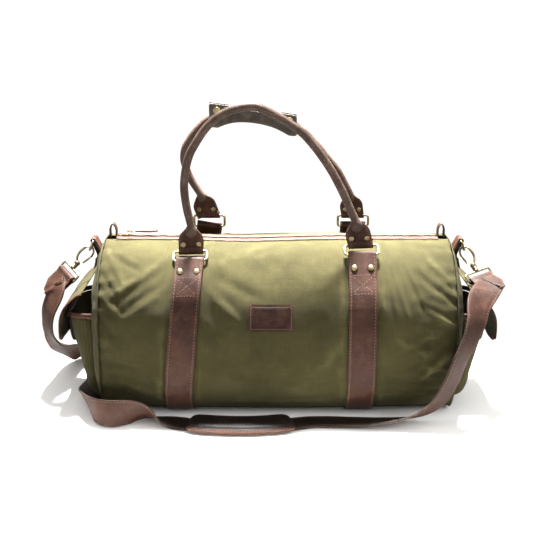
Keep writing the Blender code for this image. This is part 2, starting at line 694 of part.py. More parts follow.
def make_hook(side, sign, apex):
    """A swivel snap hook with its spring gate, and the eye that the strap is folded round."""
    base, axis, width = hook_frame(side, sign, apex)
    width = width if width[0] * sign < 0 else -width
    hook_pivot = pivot(f"hook_pivot_{side}", base - axis * 0.006)

    def at(w, v):
        return base + width * w + axis * v

    body = [(0, 0.0005), (-0.0050, 0.0045), (-0.0078, 0.0110), (-0.0080, 0.0190), (-0.0060, 0.0262),
            (0.0, 0.0300), (0.0058, 0.0268), (0.0078, 0.0215), (0.0078, 0.0185)]
    wire = as_mesh(tube("wire", [at(w, v) for w, v in smooth_path(body, 22)], 0.0015, "brass",
                        parent=hook_pivot, sides=2))
    base_body = cylinder(f"snap_hook_{side}", at(0, -0.0060), at(0, 0.0025), 0.0040, "brass", hook_pivot)
    combine(base_body, wire, "UNION")
    bore = cylinder("bore", at(0, -0.0075), at(0, -0.0020), 0.0019, "brass", hook_pivot, 12)
    combine(base_body, bore, "DIFFERENCE")

    gate_foot = at(0.0052, 0.0042)
    gate_pivot = pivot(f"gate_pivot_{side}", gate_foot)
    cylinder(f"hook_gate_{side}", at(0.00560, 0.0050), at(0.00775, 0.0180), 0.0013, "brass", gate_pivot, 10)

    wide = unit(EYE_WIDE[side])
    wide = unit(wide - axis * (wide @ axis))
    middle = at(0, -0.0165)
    eye = as_mesh(tube(f"strap_eye_{side}", rounded_ring(middle, wide, axis, 0.0214, 0.0055, 0.0030), 0.0015,
                       "brass", True))
    boss = cylinder("boss", at(0, -0.0115), at(0, -0.0063), 0.0036, "brass")
    pin = cylinder("pin", at(0, -0.0090), at(0, -0.0028), 0.0015, "brass", sides=10)
    combine(eye, boss, "UNION")
    combine(eye, pin, "UNION")
    return at(0, -0.0220), wide, -axis


# ---- shoulder strap ----
# Each row is a point on the strap's middle line and the direction across the strap there.
LEFT_ROUTE = [
    ((-0.3130, -0.0290, 0.1540), (0.62, -0.74, -0.26)),
    ((-0.3235, -0.0330, 0.1280), (0.58, -0.80, -0.15)),
    ((-0.3262, -0.0270, 0.1020), (0.50, -0.86, 0.00)),
    ((-0.3235, -0.0080, 0.0790), (0.50, -0.84, 0.15)),
    ((-0.3200, 0.0200, 0.0600), (0.62, -0.70, 0.33)),
    ((-0.3175, 0.0520, 0.0440), (0.80, -0.42, 0.42)),
    ((-0.3140, 0.0850, 0.0270), (0.93, -0.10, 0.30)),
    ((-0.3040, 0.1120, 0.0110), (0.92, 0.35, 0.15)),
    ((-0.2860, 0.1240, 0.0040), (0.55, 0.82, 0.10)),
    ((-0.2700, 0.1080, 0.0034), (-0.70, 0.70, 0.05)),
    ((-0.2660, 0.0700, 0.0034), (-1.00, 0.12, 0.00)),
    ((-0.2650, 0.0300, 0.0036), (-1.00, 0.00, 0.05)),
    ((-0.2660, -0.0150, 0.0060), (-0.96, 0.00, 0.28)),
    ((-0.2655, -0.0600, 0.0120), (-0.80, -0.05, 0.60)),
    ((-0.2610, -0.1000, 0.0180), (-0.45, -0.10, 0.89)),
    ((-0.2480, -0.1300, 0.0197), (-0.12, -0.06, 0.99)),
    ((-0.2240, -0.1430, 0.0197), (0.00, 0.05, 1.00)),
    ((-0.1980, -0.1370, 0.0185), (0.00, -0.20, 0.98)),
    ((-0.1760, -0.1300, 0.0130), (0.05, -0.70, 0.71)),
    ((-0.1580, -0.1290, 0.0060), (0.05, -0.97, 0.22)),
    ((-0.1380, -0.1310, 0.0021), (-0.20, -0.98, 0.00)),
]
PAD_ROUTE = [
    ((-0.1200, -0.1365, 0.0020), (-0.30, -0.95, 0.00)),
    ((-0.0850, -0.1435, 0.0020), (-0.15, -0.99, 0.00)),
    ((-0.0450, -0.1460, 0.0020), (0.00, -1.00, 0.00)),
    ((-0.0100, -0.1425, 0.0020), (0.18, -0.98, 0.00)),
    ((0.0200, -0.1350, 0.0020), (0.25, -0.97, 0.00)),
]
RIGHT_ROUTE = [
    ((0.0450, -0.1290, 0.0024), (0.18, -0.98, 0.05)),
    ((0.0700, -0.1290, 0.0030), (0.10, -0.99, 0.06)),
    ((0.1000, -0.1320, 0.0040), (0.05, -0.99, 0.10)),
    ((0.1300, -0.1350, 0.0060), (0.00, -0.98, 0.18)),
    ((0.1580, -0.1375, 0.0095), (-0.04, -0.95, 0.30)),
    ((0.1820, -0.1390, 0.0150), (-0.12, -0.88, 0.46)),
    ((0.2030, -0.1390, 0.0250), (-0.25, -0.78, 0.57)),
    ((0.2190, -0.1375, 0.0400), (-0.40, -0.68, 0.62)),
    ((0.2320, -0.1350, 0.0640), (-0.52, -0.66, 0.54)),
    ((0.2430, -0.1310, 0.0920), (-0.62, -0.70, 0.36)),
    ((0.2550, -0.1230, 0.1150), (-0.68, -0.69, 0.24)),
    ((0.2650, -0.1110, 0.1390), (-0.78, -0.56, 0.28)),
    ((0.2735, -0.0880, 0.1600), (-0.90, -0.24, 0.36)),
]


def make_shoulder_strap(ends):
    """The strap from eye to eye, in two lengths that meet under the pad, and the pad."""
    for side in ("left", "right"):
        bar, wide, away = ends[side]
        thick = SHOULDER_THICK
        wrap = 0.0015 + GAP + 0.0004 + thick / 2
        route = LEFT_ROUTE if side == "left" else RIGHT_ROUTE[::-1]
        pad = PAD_ROUTE[:3] if side == "left" else PAD_ROUTE[:1:-1]
        first = np.asarray(route[0][0])
        away = unit(first - bar)
        away = unit(away - wide * (away @ wide))
        face = unit(np.cross(away, wide))
        face = face if face[1] < 0 else -face
        layer = (thick + GAP) / 2
        points = [(bar - face * (layer + 0.0002) + away * d, wide) for d in (0.022, 0.006)]
        points += [(p, wide) for p in fold_arc(bar, away, face, wrap, 7)]
        points += [(bar + face * (layer + 0.0002) + away * d, wide) for d in (0.006, 0.022)]
        tail = [(np.asarray(p), unit(w)) for p, w in [*route, *pad]]
        sign = 1.0 if tail[0][1] @ wide > 0 else -1.0
        joined = [(points[-1][0], wide), *[(p, w * sign) for p, w in tail]]
        rows = np.array([[*p, *w] for p, w in joined])
        if side == "left":
            rows[-1, 0] = PAD_ROUTE[2][0][0] - 0.0015
        else:
            rows[-1, 0] = PAD_ROUTE[2][0][0] + 0.0015
        smooth = smooth_path(rows, 62)
        line = [p for p, _ in points[:-1]] + [row[:3] for row in smooth]
        sides = [w for _, w in points[:-1]] + [unit(row[3:]) for row in smooth]
        sides = np.array([unit(w) for w in sides])
        run = np.gradient(np.array(line), axis=0)
        run /= np.linalg.norm(run, axis=1)[:, None]
        sides -= run * np.sum(run * sides, axis=1)[:, None]
        sides /= np.linalg.norm(sides, axis=1)[:, None]
        line = np.array(line)
        line[:, 2] = np.maximum(line[:, 2], STRAP_LIE + SHOULDER_WIDTH / 2 * np.abs(sides[:, 2]))
        band(f"shoulder_strap_{side}", line, sides, SHOULDER_WIDTH, thick, "leather")

    line = smooth_path([p for p, _ in PAD_ROUTE], 13)
    line[:, 2] = 0.0040
    run = np.gradient(line, axis=0)
    run /= np.linalg.norm(run, axis=1)[:, None]
    rows = []
    for k, (p, t) in enumerate(zip(line, run)):
        across = np.array([t[1], -t[0], 0])
        end = 1 - abs(2 * k / (len(line) - 1) - 1) ** 6 * 0.25
        rows.append([p + across * w * end + np.array([0, 0, lift]) for w, lift in
                     ((0.027, 0), (0.014, 0), (0, 0), (-0.014, 0), (-0.027, 0))])
    rows = [row[::-1] for row in rows]
    surface("shoulder_pad", rows, "leather", 0.0075, 1.0)


def make_patch():
    """The blank leather patch on the front."""
    rows = []
    for x in np.linspace(-0.0385, 0.0205, 5):
        line = skin_line(x, 0, math.pi / 2 * 1.02, 400, GAP)
        z_values = np.linspace(0.164, 0.130, 5)
        order = np.argsort(line[:, 1])
        rows.append([(x, float(np.interp(z, line[order, 1], line[order, 0])), z) for z in z_values])
    surface("front_patch", rows, "leather", 0.0014, 1.0)


make_shell()
for end_side, end_sign in (("left", -1), ("right", 1)):
    make_end_panel(end_side, end_sign)
make_lining()
make_board()
make_zip()
make_zip_tabs()
make_body_straps()
make_handle("front", FRONT_BAR, FRONT_LEAN, FRONT_ARCH, {"left": -0.1172, "right": 0.1127})
rear_path, rear_pivot = make_handle("rear", REAR_BAR, REAR_LEAN, REAR_ARCH, {"left": -0.1008, "right": 0.1132})
make_wrap(rear_path, rear_pivot)
strap_ends = {}
for end_side, end_sign in (("left", -1), ("right", 1)):
    ring_apex = make_end(end_side, end_sign)
    strap_ends[end_side] = make_hook(end_side, end_sign, ring_apex)
make_shoulder_strap(strap_ends)
make_patch()
bpy.context.view_layer.update()
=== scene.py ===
import math

import bpy
import numpy as np
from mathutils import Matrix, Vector, noise


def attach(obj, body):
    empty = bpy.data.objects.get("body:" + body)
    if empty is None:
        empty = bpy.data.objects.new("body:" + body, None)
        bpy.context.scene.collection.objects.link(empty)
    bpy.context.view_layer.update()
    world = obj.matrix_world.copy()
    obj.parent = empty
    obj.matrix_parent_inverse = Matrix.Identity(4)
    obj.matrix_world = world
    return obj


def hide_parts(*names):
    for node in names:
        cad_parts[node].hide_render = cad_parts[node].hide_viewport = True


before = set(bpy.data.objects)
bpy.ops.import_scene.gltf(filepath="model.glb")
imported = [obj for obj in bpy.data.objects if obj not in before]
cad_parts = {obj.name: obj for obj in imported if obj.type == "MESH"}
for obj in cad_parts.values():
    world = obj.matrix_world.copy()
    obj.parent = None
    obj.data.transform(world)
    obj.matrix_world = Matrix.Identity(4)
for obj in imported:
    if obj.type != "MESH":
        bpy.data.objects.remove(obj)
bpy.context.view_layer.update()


# ---- sizes and routes, the same as the frame's, in metres ----
GAP = 0.0003                 # clearance between neighbours
SEAM_X = 0.240               # half length between the end seams
BELLY = 0.1255               # half depth at the middle
BELLY_END = 0.114            # half depth at the end seams
BELLY_Z = 0.106              # height of the widest line
TOP_Z = 0.229                # height of the top skin
BASE_Z = 0.0029              # underside of the base, a strap's thickness and gap up
LOWER_DROP = 0.112
UPPER_POWER = 2.3
LOWER_POWER = 3.2
CANVAS = 0.0018
ZIP_HALF = 0.0115            # half width of the slot for the zip
BASE_HALF = 0.088            # half width of the base panel
BASE_SEAM = 0.0018           # seam between the base and the panels above it
END_BULGE = 0.022
LEATHER = 0.0022             # strap thickness
STRAP_WIDTH = 0.038
WIRE = 0.00175               # radius of the ring wire
RING_REACH = 0.0165          # between a ring's two bars
RING_HALF = 0.0226           # half width of a ring, to its wire's middle
FOLD = 0.045                 # length of a strap's folded-back end
HANDLE_RADIUS = 0.0053
SHOULDER_WIDTH = 0.038
SHOULDER_THICK = 0.003
STRAP_LIE = 0.0017           # height of the strap's middle line where it lies flat
ZIP_TRAVEL_X = 0.212
POCKET_HALF = 0.074
FIRST_RIVETS = {"left": 13.0, "right": 12.5}     # rows of the strap path that carry the front rivets
STRAP_X = {"left": (-0.118, -0.134, -0.100), "right": (0.1135, 0.1125, 0.1140)}
FRONT_BAR = {"left": (-0.078, 0.2152), "right": (-0.078, 0.2235)}
REAR_BAR = {"left": (0.080, 0.2270), "right": (0.080, 0.2270)}
STRAP_TURN_Z = BELLY_Z * 0.4     # a body strap drifts sideways from here
STRAP_TOP_Z = 0.22               # up to here
FRONT_LEAN = math.radians(32)    # how far the front rings rise above level
REAR_LEAN = math.radians(93)
END_MIDDLE_Z = BELLY_Z + 0.006
FRONT_ARCH = [(-0.1170, 0.2600), (-0.1230, 0.2875), (-0.1252, 0.3173), (-0.1195, 0.3496),
              (-0.1083, 0.3723), (-0.0908, 0.3960), (-0.0695, 0.4115), (-0.0458, 0.4185),
              (-0.0288, 0.4190), (-0.0117, 0.4125), (0.0133, 0.3986), (0.0385, 0.3789),
              (0.0655, 0.3442), (0.0848, 0.3105), (0.0985, 0.2804), (0.1046, 0.2680)]
REAR_ARCH = [(-0.1135, 0.2765), (-0.1262, 0.2968), (-0.1345, 0.3175), (-0.1365, 0.3330),
             (-0.1300, 0.3532), (-0.1017, 0.3850), (-0.0610, 0.4022), (-0.0100, 0.3965),
             (0.0322, 0.3734), (0.0560, 0.3510), (0.0740, 0.3300), (0.0890, 0.3120),
             (0.1005, 0.2920), (0.1085, 0.2765)]
HOOK_PULL = {"left": (-0.683, -0.247, -0.688), "right": (0.42, -0.52, -0.72)}
EYE_WIDE = {"left": (0.63, -0.73, -0.26), "right": (-0.93, -0.05, 0.33)}
LEFT_ROUTE = [
    ((-0.3130, -0.0290, 0.1540), (0.62, -0.74, -0.26)),
    ((-0.3235, -0.0330, 0.1280), (0.58, -0.80, -0.15)),
    ((-0.3262, -0.0270, 0.1020), (0.50, -0.86, 0.00)),
    ((-0.3235, -0.0080, 0.0790), (0.50, -0.84, 0.15)),
    ((-0.3200, 0.0200, 0.0600), (0.62, -0.70, 0.33)),
    ((-0.3175, 0.0520, 0.0440), (0.80, -0.42, 0.42)),
    ((-0.3140, 0.0850, 0.0270), (0.93, -0.10, 0.30)),
    ((-0.3040, 0.1120, 0.0110), (0.92, 0.35, 0.15)),
    ((-0.2860, 0.1240, 0.0040), (0.55, 0.82, 0.10)),
    ((-0.2700, 0.1080, 0.0034), (-0.70, 0.70, 0.05)),
    ((-0.2660, 0.0700, 0.0034), (-1.00, 0.12, 0.00)),
    ((-0.2650, 0.0300, 0.0036), (-1.00, 0.00, 0.05)),
    ((-0.2660, -0.0150, 0.0060), (-0.96, 0.00, 0.28)),
    ((-0.2655, -0.0600, 0.0120), (-0.80, -0.05, 0.60)),
    ((-0.2610, -0.1000, 0.0180), (-0.45, -0.10, 0.89)),
    ((-0.2480, -0.1300, 0.0197), (-0.12, -0.06, 0.99)),
    ((-0.2240, -0.1430, 0.0197), (0.00, 0.05, 1.00)),
    ((-0.1980, -0.1370, 0.0185), (0.00, -0.20, 0.98)),
    ((-0.1760, -0.1300, 0.0130), (0.05, -0.70, 0.71)),
    ((-0.1580, -0.1290, 0.0060), (0.05, -0.97, 0.22)),
    ((-0.1380, -0.1310, 0.0021), (-0.20, -0.98, 0.00)),
]
PAD_ROUTE = [
    ((-0.1200, -0.1365, 0.0020), (-0.30, -0.95, 0.00)),
    ((-0.0850, -0.1435, 0.0020), (-0.15, -0.99, 0.00)),
    ((-0.0450, -0.1460, 0.0020), (0.00, -1.00, 0.00)),
    ((-0.0100, -0.1425, 0.0020), (0.18, -0.98, 0.00)),
    ((0.0200, -0.1350, 0.0020), (0.25, -0.97, 0.00)),
]
RIGHT_ROUTE = [
    ((0.0450, -0.1290, 0.0024), (0.18, -0.98, 0.05)),
    ((0.0700, -0.1290, 0.0030), (0.10, -0.99, 0.06)),
    ((0.1000, -0.1320, 0.0040), (0.05, -0.99, 0.10)),
    ((0.1300, -0.1350, 0.0060), (0.00, -0.98, 0.18)),
    ((0.1580, -0.1375, 0.0095), (-0.04, -0.95, 0.30)),
    ((0.1820, -0.1390, 0.0150), (-0.12, -0.88, 0.46)),
    ((0.2030, -0.1390, 0.0250), (-0.25, -0.78, 0.57)),
    ((0.2190, -0.1375, 0.0400), (-0.40, -0.68, 0.62)),
    ((0.2320, -0.1350, 0.0640), (-0.52, -0.66, 0.54)),
    ((0.2430, -0.1310, 0.0920), (-0.62, -0.70, 0.36)),
    ((0.2550, -0.1230, 0.1150), (-0.68, -0.69, 0.24)),
    ((0.2650, -0.1110, 0.1390), (-0.78, -0.56, 0.28)),
    ((0.2735, -0.0880, 0.1600), (-0.90, -0.24, 0.36)),
]
LEANS = {"front": FRONT_LEAN, "rear": REAR_LEAN}
X_WAY, Y_WAY, Z_WAY = np.eye(3)
GROOVE = 0.84                # where a strap is stitched, as a share of its half width
FINE = {"pitch": 0.0040, "length": 0.0027}      # stitches on small straps and tabs
TIGHT = {"pitch": 0.0038, "length": 0.0026}     # stitches on the patch and the D-ring tabs
SIDES = (("left", -1), ("right", 1))


# ---- lines that pieces follow ----
def unit(vector):
    vector = np.asarray(vector, float)
    return vector / np.linalg.norm(vector)


def steps_of(points):
    """The distance along a line to each of its points."""
    return np.concatenate([[0], np.cumsum(np.linalg.norm(np.diff(points, axis=0), axis=1))])


def runs_of(line):
    """Unit vectors along a line."""
    run = np.gradient(line, axis=0)
    return run / np.linalg.norm(run, axis=1)[:, None]


def square_to(run, sides):
    """Side directions made square to the line's own directions."""
    sides = np.broadcast_to(np.asarray(sides, float), run.shape)
    sides = sides - run * np.sum(run * sides, axis=1)[:, None]
    return sides / np.linalg.norm(sides, axis=1)[:, None]


def normals_of(line, sides):
    """Unit vectors square to a line and to its side direction."""
    return np.array([unit(v) for v in np.cross(np.gradient(line, axis=0), sides)])


def circle(centre, u, v, radius, count=28):
    """Points round a circle in the plane of u and v."""
    turn = np.linspace(0, 2 * math.pi, count, endpoint=False)
    return [centre + radius * (u * math.cos(a) + v * math.sin(a)) for a in turn]


def even_ring(points, count):
    """A closed line with its points at even steps."""
    return resample(np.array([*points, points[0]]), count + 1)[:-1]


def resample(points, count):
    """The same line with its points at even steps."""
    along = steps_of(points[:, :3])
    wanted = np.linspace(0, along[-1], count)
    return np.stack([np.interp(wanted, along, column) for column in points.T], axis=1)


def smooth_path(points, count):
    """A Catmull-Rom curve through the points, read off at even steps."""
    p = np.asarray(points, float)
    p = np.vstack([2 * p[0] - p[1], p, 2 * p[-1] - p[-2]])
    fine = []
    for a, b, c, d in zip(p, p[1:], p[2:], p[3:]):
        for t in np.linspace(0, 1, 16, endpoint=False):
            fine.append(0.5 * (2 * b + (c - a) * t + (2 * a - 5 * b + 4 * c - d) * t ** 2
                               + (3 * b - a - 3 * c + d) * t ** 3))
    fine.append(p[-2])
    return resample(np.array(fine), count)


def size_at(x):
    """Half depth of the bag at station x."""
    return BELLY - (BELLY - BELLY_END) * (x / SEAM_X) ** 2


def skin(x, angle):
    """(y, z) on the outer skin; angle 0 is the top, 90 degrees the front, 180 the bottom."""
    s, c = math.sin(angle), math.cos(angle)
    power, height = (UPPER_POWER, TOP_Z - BELLY_Z) if c >= 0 else (LOWER_POWER, LOWER_DROP)
    y = -size_at(x) * math.copysign(abs(s) ** (2 / power), s)
    z = BELLY_Z + height * math.copysign(abs(c) ** (2 / power), c)
    return y, max(z, BASE_Z)


def skin_angle(x, y, lower):
    """The angle at which the skin reaches y, on the upper or the lower half."""
    power = LOWER_POWER if lower else UPPER_POWER
    angle = math.asin(min(1.0, (abs(y) / size_at(x)) ** (power / 2)))
    angle = math.pi - angle if lower else angle
    return angle if y < 0 else -angle


def skin_line(x, start, end, count, out=0.0):
    """Points along the skin between two angles, evenly spaced, moved out from it by out."""
    fine = np.array([skin(x, angle) for angle in np.linspace(start, end, 500)])
    line = resample(fine, 400)
    along = np.gradient(line, axis=0)
    normal = np.stack([along[:, 1], -along[:, 0]], axis=1)
    normal /= np.linalg.norm(normal, axis=1)[:, None] + 1e-12
    if end > start:
        normal = -normal
    return resample(line - normal * out, count)


def end_outline(shrink, count=32):
    """The end seam's outline, drawn in towards its middle by a factor."""
    fine = np.array([skin(SEAM_X, a) for a in np.linspace(0, 2 * math.pi, 500)])
    middle = np.array([0.0, END_MIDDLE_Z])
    return middle + (resample(fine, count + 1)[:-1] - middle) * shrink


SEAM_LINE = end_outline(1.0, 360) - np.array([0.0, END_MIDDLE_Z])
SEAM_TURN = np.unwrap(np.arctan2(SEAM_LINE[:, 1], SEAM_LINE[:, 0]))
SEAM_REACH = np.hypot(SEAM_LINE[:, 0], SEAM_LINE[:, 1])


def dome_x(y, z):
    """How far out the end panel stands at (y, z)."""
    turn = math.atan2(z - END_MIDDLE_Z, y)
    gap = np.abs((SEAM_TURN - turn + math.pi) % (2 * math.pi) - math.pi)
    share = math.hypot(y, z - END_MIDDLE_Z) / SEAM_REACH[np.argmin(gap)]
    return SEAM_X + CANVAS + GAP + END_BULGE * max(0.0, 1 - share ** 2)


def fold_arc(bar, toward, normal, reach, count=9):
    """Half a turn round a bar, from the inner side over the top to the outer side."""
    return [bar - reach * (normal * math.cos(a) + toward * math.sin(a))
            for a in np.linspace(0, math.pi, count)]


def strap_x(side, y, z):
    """Where a body strap's middle lies: it drifts sideways as it climbs from under the bag."""
    front, under, rear = STRAP_X[side]
    share = min(1.0, max(0.0, (z - STRAP_TURN_Z) / (STRAP_TOP_Z - STRAP_TURN_Z)))
    return under + ((front if y < 0 else rear) - under) * share


def strap_path(side):
    """The middle line of a body strap, both its ends folded round their rings."""
    wrap = WIRE + GAP + LEATHER / 2
    inner = GAP + 0.0004 + LEATHER / 2
    outer = inner + LEATHER + GAP
    front = np.array(FRONT_BAR[side])
    rear = np.array(REAR_BAR[side])
    x_mid = min(abs(x) for x in STRAP_X[side]) - STRAP_WIDTH / 2
    start = skin_angle(x_mid, front[0], False)
    end = 2 * math.pi + skin_angle(x_mid, rear[0], False)
    base = skin_line(x_mid, start, end, 240)
    steps = steps_of(base)
    total = steps[-1]
    along = np.gradient(base, axis=0)
    along /= np.linalg.norm(along, axis=1)[:, None]
    out = np.stack([along[:, 1], -along[:, 0]], axis=1)
    if out[120] @ np.array([0, -1.0]) < 0:
        out = -out

    def at(s, offset):
        point = np.array([np.interp(s, steps, base[:, k]) for k in (0, 1)])
        normal = unit([np.interp(s, steps, out[:, k]) for k in (0, 1)])
        return point + normal * offset

    skip = {"front": 0.014 if side == "left" else 0.030, "rear": 0.050}
    fold_end = {"front": skip["front"] + FOLD - 0.014, "rear": skip["rear"] + FOLD - 0.020}

    def offset_at(s):
        depth = inner
        for distance, end_fold in ((s, fold_end["front"]), (total - s, fold_end["rear"])):
            blend = min(1.0, max(0.0, (end_fold + 0.018 - distance) / 0.012))
            depth = max(depth, inner + (outer - inner) * blend * blend * (3 - 2 * blend))
        return depth

    path = []
    for s in np.linspace(fold_end["front"], skip["front"], 4):
        path.append(at(s, inner))
    toward = unit(at(skip["front"], 0.5 * (inner + outer)) - front)
    normal = np.array([toward[1], -toward[0]])
    normal = normal if normal[1] > 0 else -normal
    path += fold_arc(front, toward, normal, wrap)
    for s in np.linspace(skip["front"], total - skip["rear"], 46):
        path.append(at(s, offset_at(s)))
    toward = unit(at(total - skip["rear"], 0.5 * (inner + outer)) - rear)
    normal = np.array([toward[1], -toward[0]])
    normal = normal if normal[0] > 0 else -normal
    path += fold_arc(rear, toward, normal, wrap)[::-1]
    for s in np.linspace(skip["rear"], fold_end["rear"], 4):
        path.append(at(total - s, inner))

    return np.array([(strap_x(side, y, z), y, z) for y, z in path])


def rounded_ring(centre, across, up, half_width, half_height, corner, steps=3):
    """Points round a rectangle with round corners."""
    points = []
    for quarter, (sx, sy) in enumerate(((1, 1), (-1, 1), (-1, -1), (1, -1))):
        for k in range(steps + 1):
            a = math.pi / 2 * (quarter + k / steps)
            u = sx * (half_width - corner) + corner * math.cos(a)
            v = sy * (half_height - corner) + corner * math.sin(a)
            points.append(centre + across * u + up * v)
    return points


def pocket_reach(z, top=0.131, bottom=0.020):
    """How far out the pocket's face stands at height z."""
    t = (z - bottom) / (top - bottom)
    return 0.268 + 0.0232 * t


def pocket_rows(sign, heights, out=0.0):
    """Rows of points across an end pocket, one for each (height, depth) pair."""
    rows = []
    for z, depth in heights:
        row = []
        for u in np.sin(np.linspace(-math.pi / 2, math.pi / 2, 13)):
            y = POCKET_HALF * u
            wall = dome_x(y, z) + 2 * GAP
            face = max(wall, pocket_reach(z) + out)
            row.append((sign * (wall + (face - wall) * depth * (1 - abs(u) ** 7) ** 0.5), y, z))
        rows.append(row)
    return rows


def hook_frame(side, apex):
    """Where a snap hook lies: its base, its axis to the nose, and its width direction."""
    pull = unit(HOOK_PULL[side])
    nose = apex - pull * 0.0041
    axis = -pull
    width = unit(np.cross(axis, (0, 1, 0)))
    return nose - axis * 0.030, axis, width


# ---- materials ----
def node(tree, kind, inputs=None, **settings):
    """A shader node with its inputs set or linked."""
    made = tree.nodes.new(kind)
    for key, value in settings.items():
        setattr(made, key, value)
    for key, value in (inputs or {}).items():
        if isinstance(value, bpy.types.NodeSocket):
            tree.links.new(value, made.inputs[key])
        else:
            made.inputs[key].default_value = value
    return made


def noise_of(tree, vector, scale, detail=3.0, rough=0.55):
    """The value of a noise texture."""
    made = node(tree, "ShaderNodeTexNoise", {"Vector": vector, "Scale": scale, "Detail": detail,
                                             "Roughness": rough})
    return made.outputs["Fac"]


def maths(tree, operation, a, b=0.0):
    """The result of a Math node."""
    return node(tree, "ShaderNodeMath", {0: a, 1: b}, operation=operation).outputs[0]


def span(tree, value, low, high, to_low, to_high):
    """A value moved from one range to another."""
    made = node(tree, "ShaderNodeMapRange", {"Value": value, "From Min": low, "From Max": high,
                                             "To Min": to_low, "To Max": to_high})
    return made.outputs["Result"]


def mix(tree, share, a, b, blend="MIX"):
    """Two colours mixed by a share."""
    made = tree.nodes.new("ShaderNodeMix")
    made.data_type = "RGBA"
    made.blend_type = blend
    for index, value in ((0, share), (6, a), (7, b)):
        if isinstance(value, bpy.types.NodeSocket):
            tree.links.new(value, made.inputs[index])
        else:
            made.inputs[index].default_value = value if index == 0 else (*value, 1.0)
    return made.outputs[2]


def start_material(name, colour, rough, metallic=0.0, sheen=0.0, coat=0.0):
    """A material with its plain colour and surface set."""
    made = bpy.data.materials.new(name)
    made.use_nodes = True
    made.diffuse_color = (*colour, 1.0)
    shader = made.node_tree.nodes["Principled BSDF"]
    shader.inputs["Base Color"].default_value = (*colour, 1.0)
    shader.inputs["Roughness"].default_value = rough
    shader.inputs["Metallic"].default_value = metallic
    shader.inputs["Sheen Weight"].default_value = sheen
    shader.inputs["Coat Weight"].default_value = coat
    shader.inputs["Coat Roughness"].default_value = 0.35
    shader.inputs["Specular IOR Level"].default_value = 0.5 if metallic else 0.14
    return made, made.node_tree, shader


def finish_bump(tree, shader, height, strength, distance):
    """Joins a height to the surface as bump."""
    bump = node(tree, "ShaderNodeBump", {"Height": height, "Strength": strength, "Distance": distance})
    tree.links.new(bump.outputs["Normal"], shader.inputs["Normal"])


def canvas_material(name, dark, light, pale):
    """Olive cotton canvas: crossed threads with slubs, rubbed paler on its ridges."""
    made, tree, shader = start_material(name, light, 0.92, sheen=0.02)
    place = node(tree, "ShaderNodeTexCoord")
    uv, spot = place.outputs["UV"], place.outputs["Object"]
    warp = node(tree, "ShaderNodeTexWave", {"Vector": uv, "Scale": 250.0, "Distortion": 1.2, "Detail": 1.0,
                                            "Detail Scale": 2.0}, bands_direction="X")
    weft = node(tree, "ShaderNodeTexWave", {"Vector": uv, "Scale": 250.0, "Distortion": 1.2, "Detail": 1.0,
                                            "Detail Scale": 2.0}, bands_direction="Y")
    weave = maths(tree, "ADD", warp.outputs["Fac"], weft.outputs["Fac"])
    long_x = node(tree, "ShaderNodeMapping", {"Vector": uv, "Scale": (40.0, 900.0, 1.0)})
    long_y = node(tree, "ShaderNodeMapping", {"Vector": uv, "Scale": (900.0, 40.0, 1.0)})
    slub = maths(tree, "ADD", noise_of(tree, long_x.outputs["Vector"], 1.0, 2.0),
                 noise_of(tree, long_y.outputs["Vector"], 1.0, 2.0))
    cloud = noise_of(tree, spot, 11.0, 4.0)
    patchy = noise_of(tree, spot, 45.0, 5.0, 0.65)
    colour = mix(tree, span(tree, cloud, 0.3, 0.7, 0.0, 1.0), dark, light)
    colour = mix(tree, span(tree, patchy, 0.42, 0.75, 0.0, 0.38), colour, pale)
    colour = mix(tree, span(tree, slub, 0.75, 1.3, 0.0, 0.55), colour, dark)
    colour = mix(tree, span(tree, weave, 0.0, 1.1, 0.70, 0.0), colour, tuple(c * 0.30 for c in dark))
    rub = node(tree, "ShaderNodeAttribute", attribute_name="wear").outputs["Fac"]
    colour = mix(tree, maths(tree, "MULTIPLY", rub, span(tree, patchy, 0.35, 0.65, 0.2, 1.0)), colour, pale)
    tree.links.new(colour, shader.inputs["Base Color"])
    height = maths(tree, "ADD", maths(tree, "MULTIPLY", weave, 0.5), maths(tree, "MULTIPLY", slub, 0.4))
    finish_bump(tree, shader, height, 0.85, 0.0009)
    return made


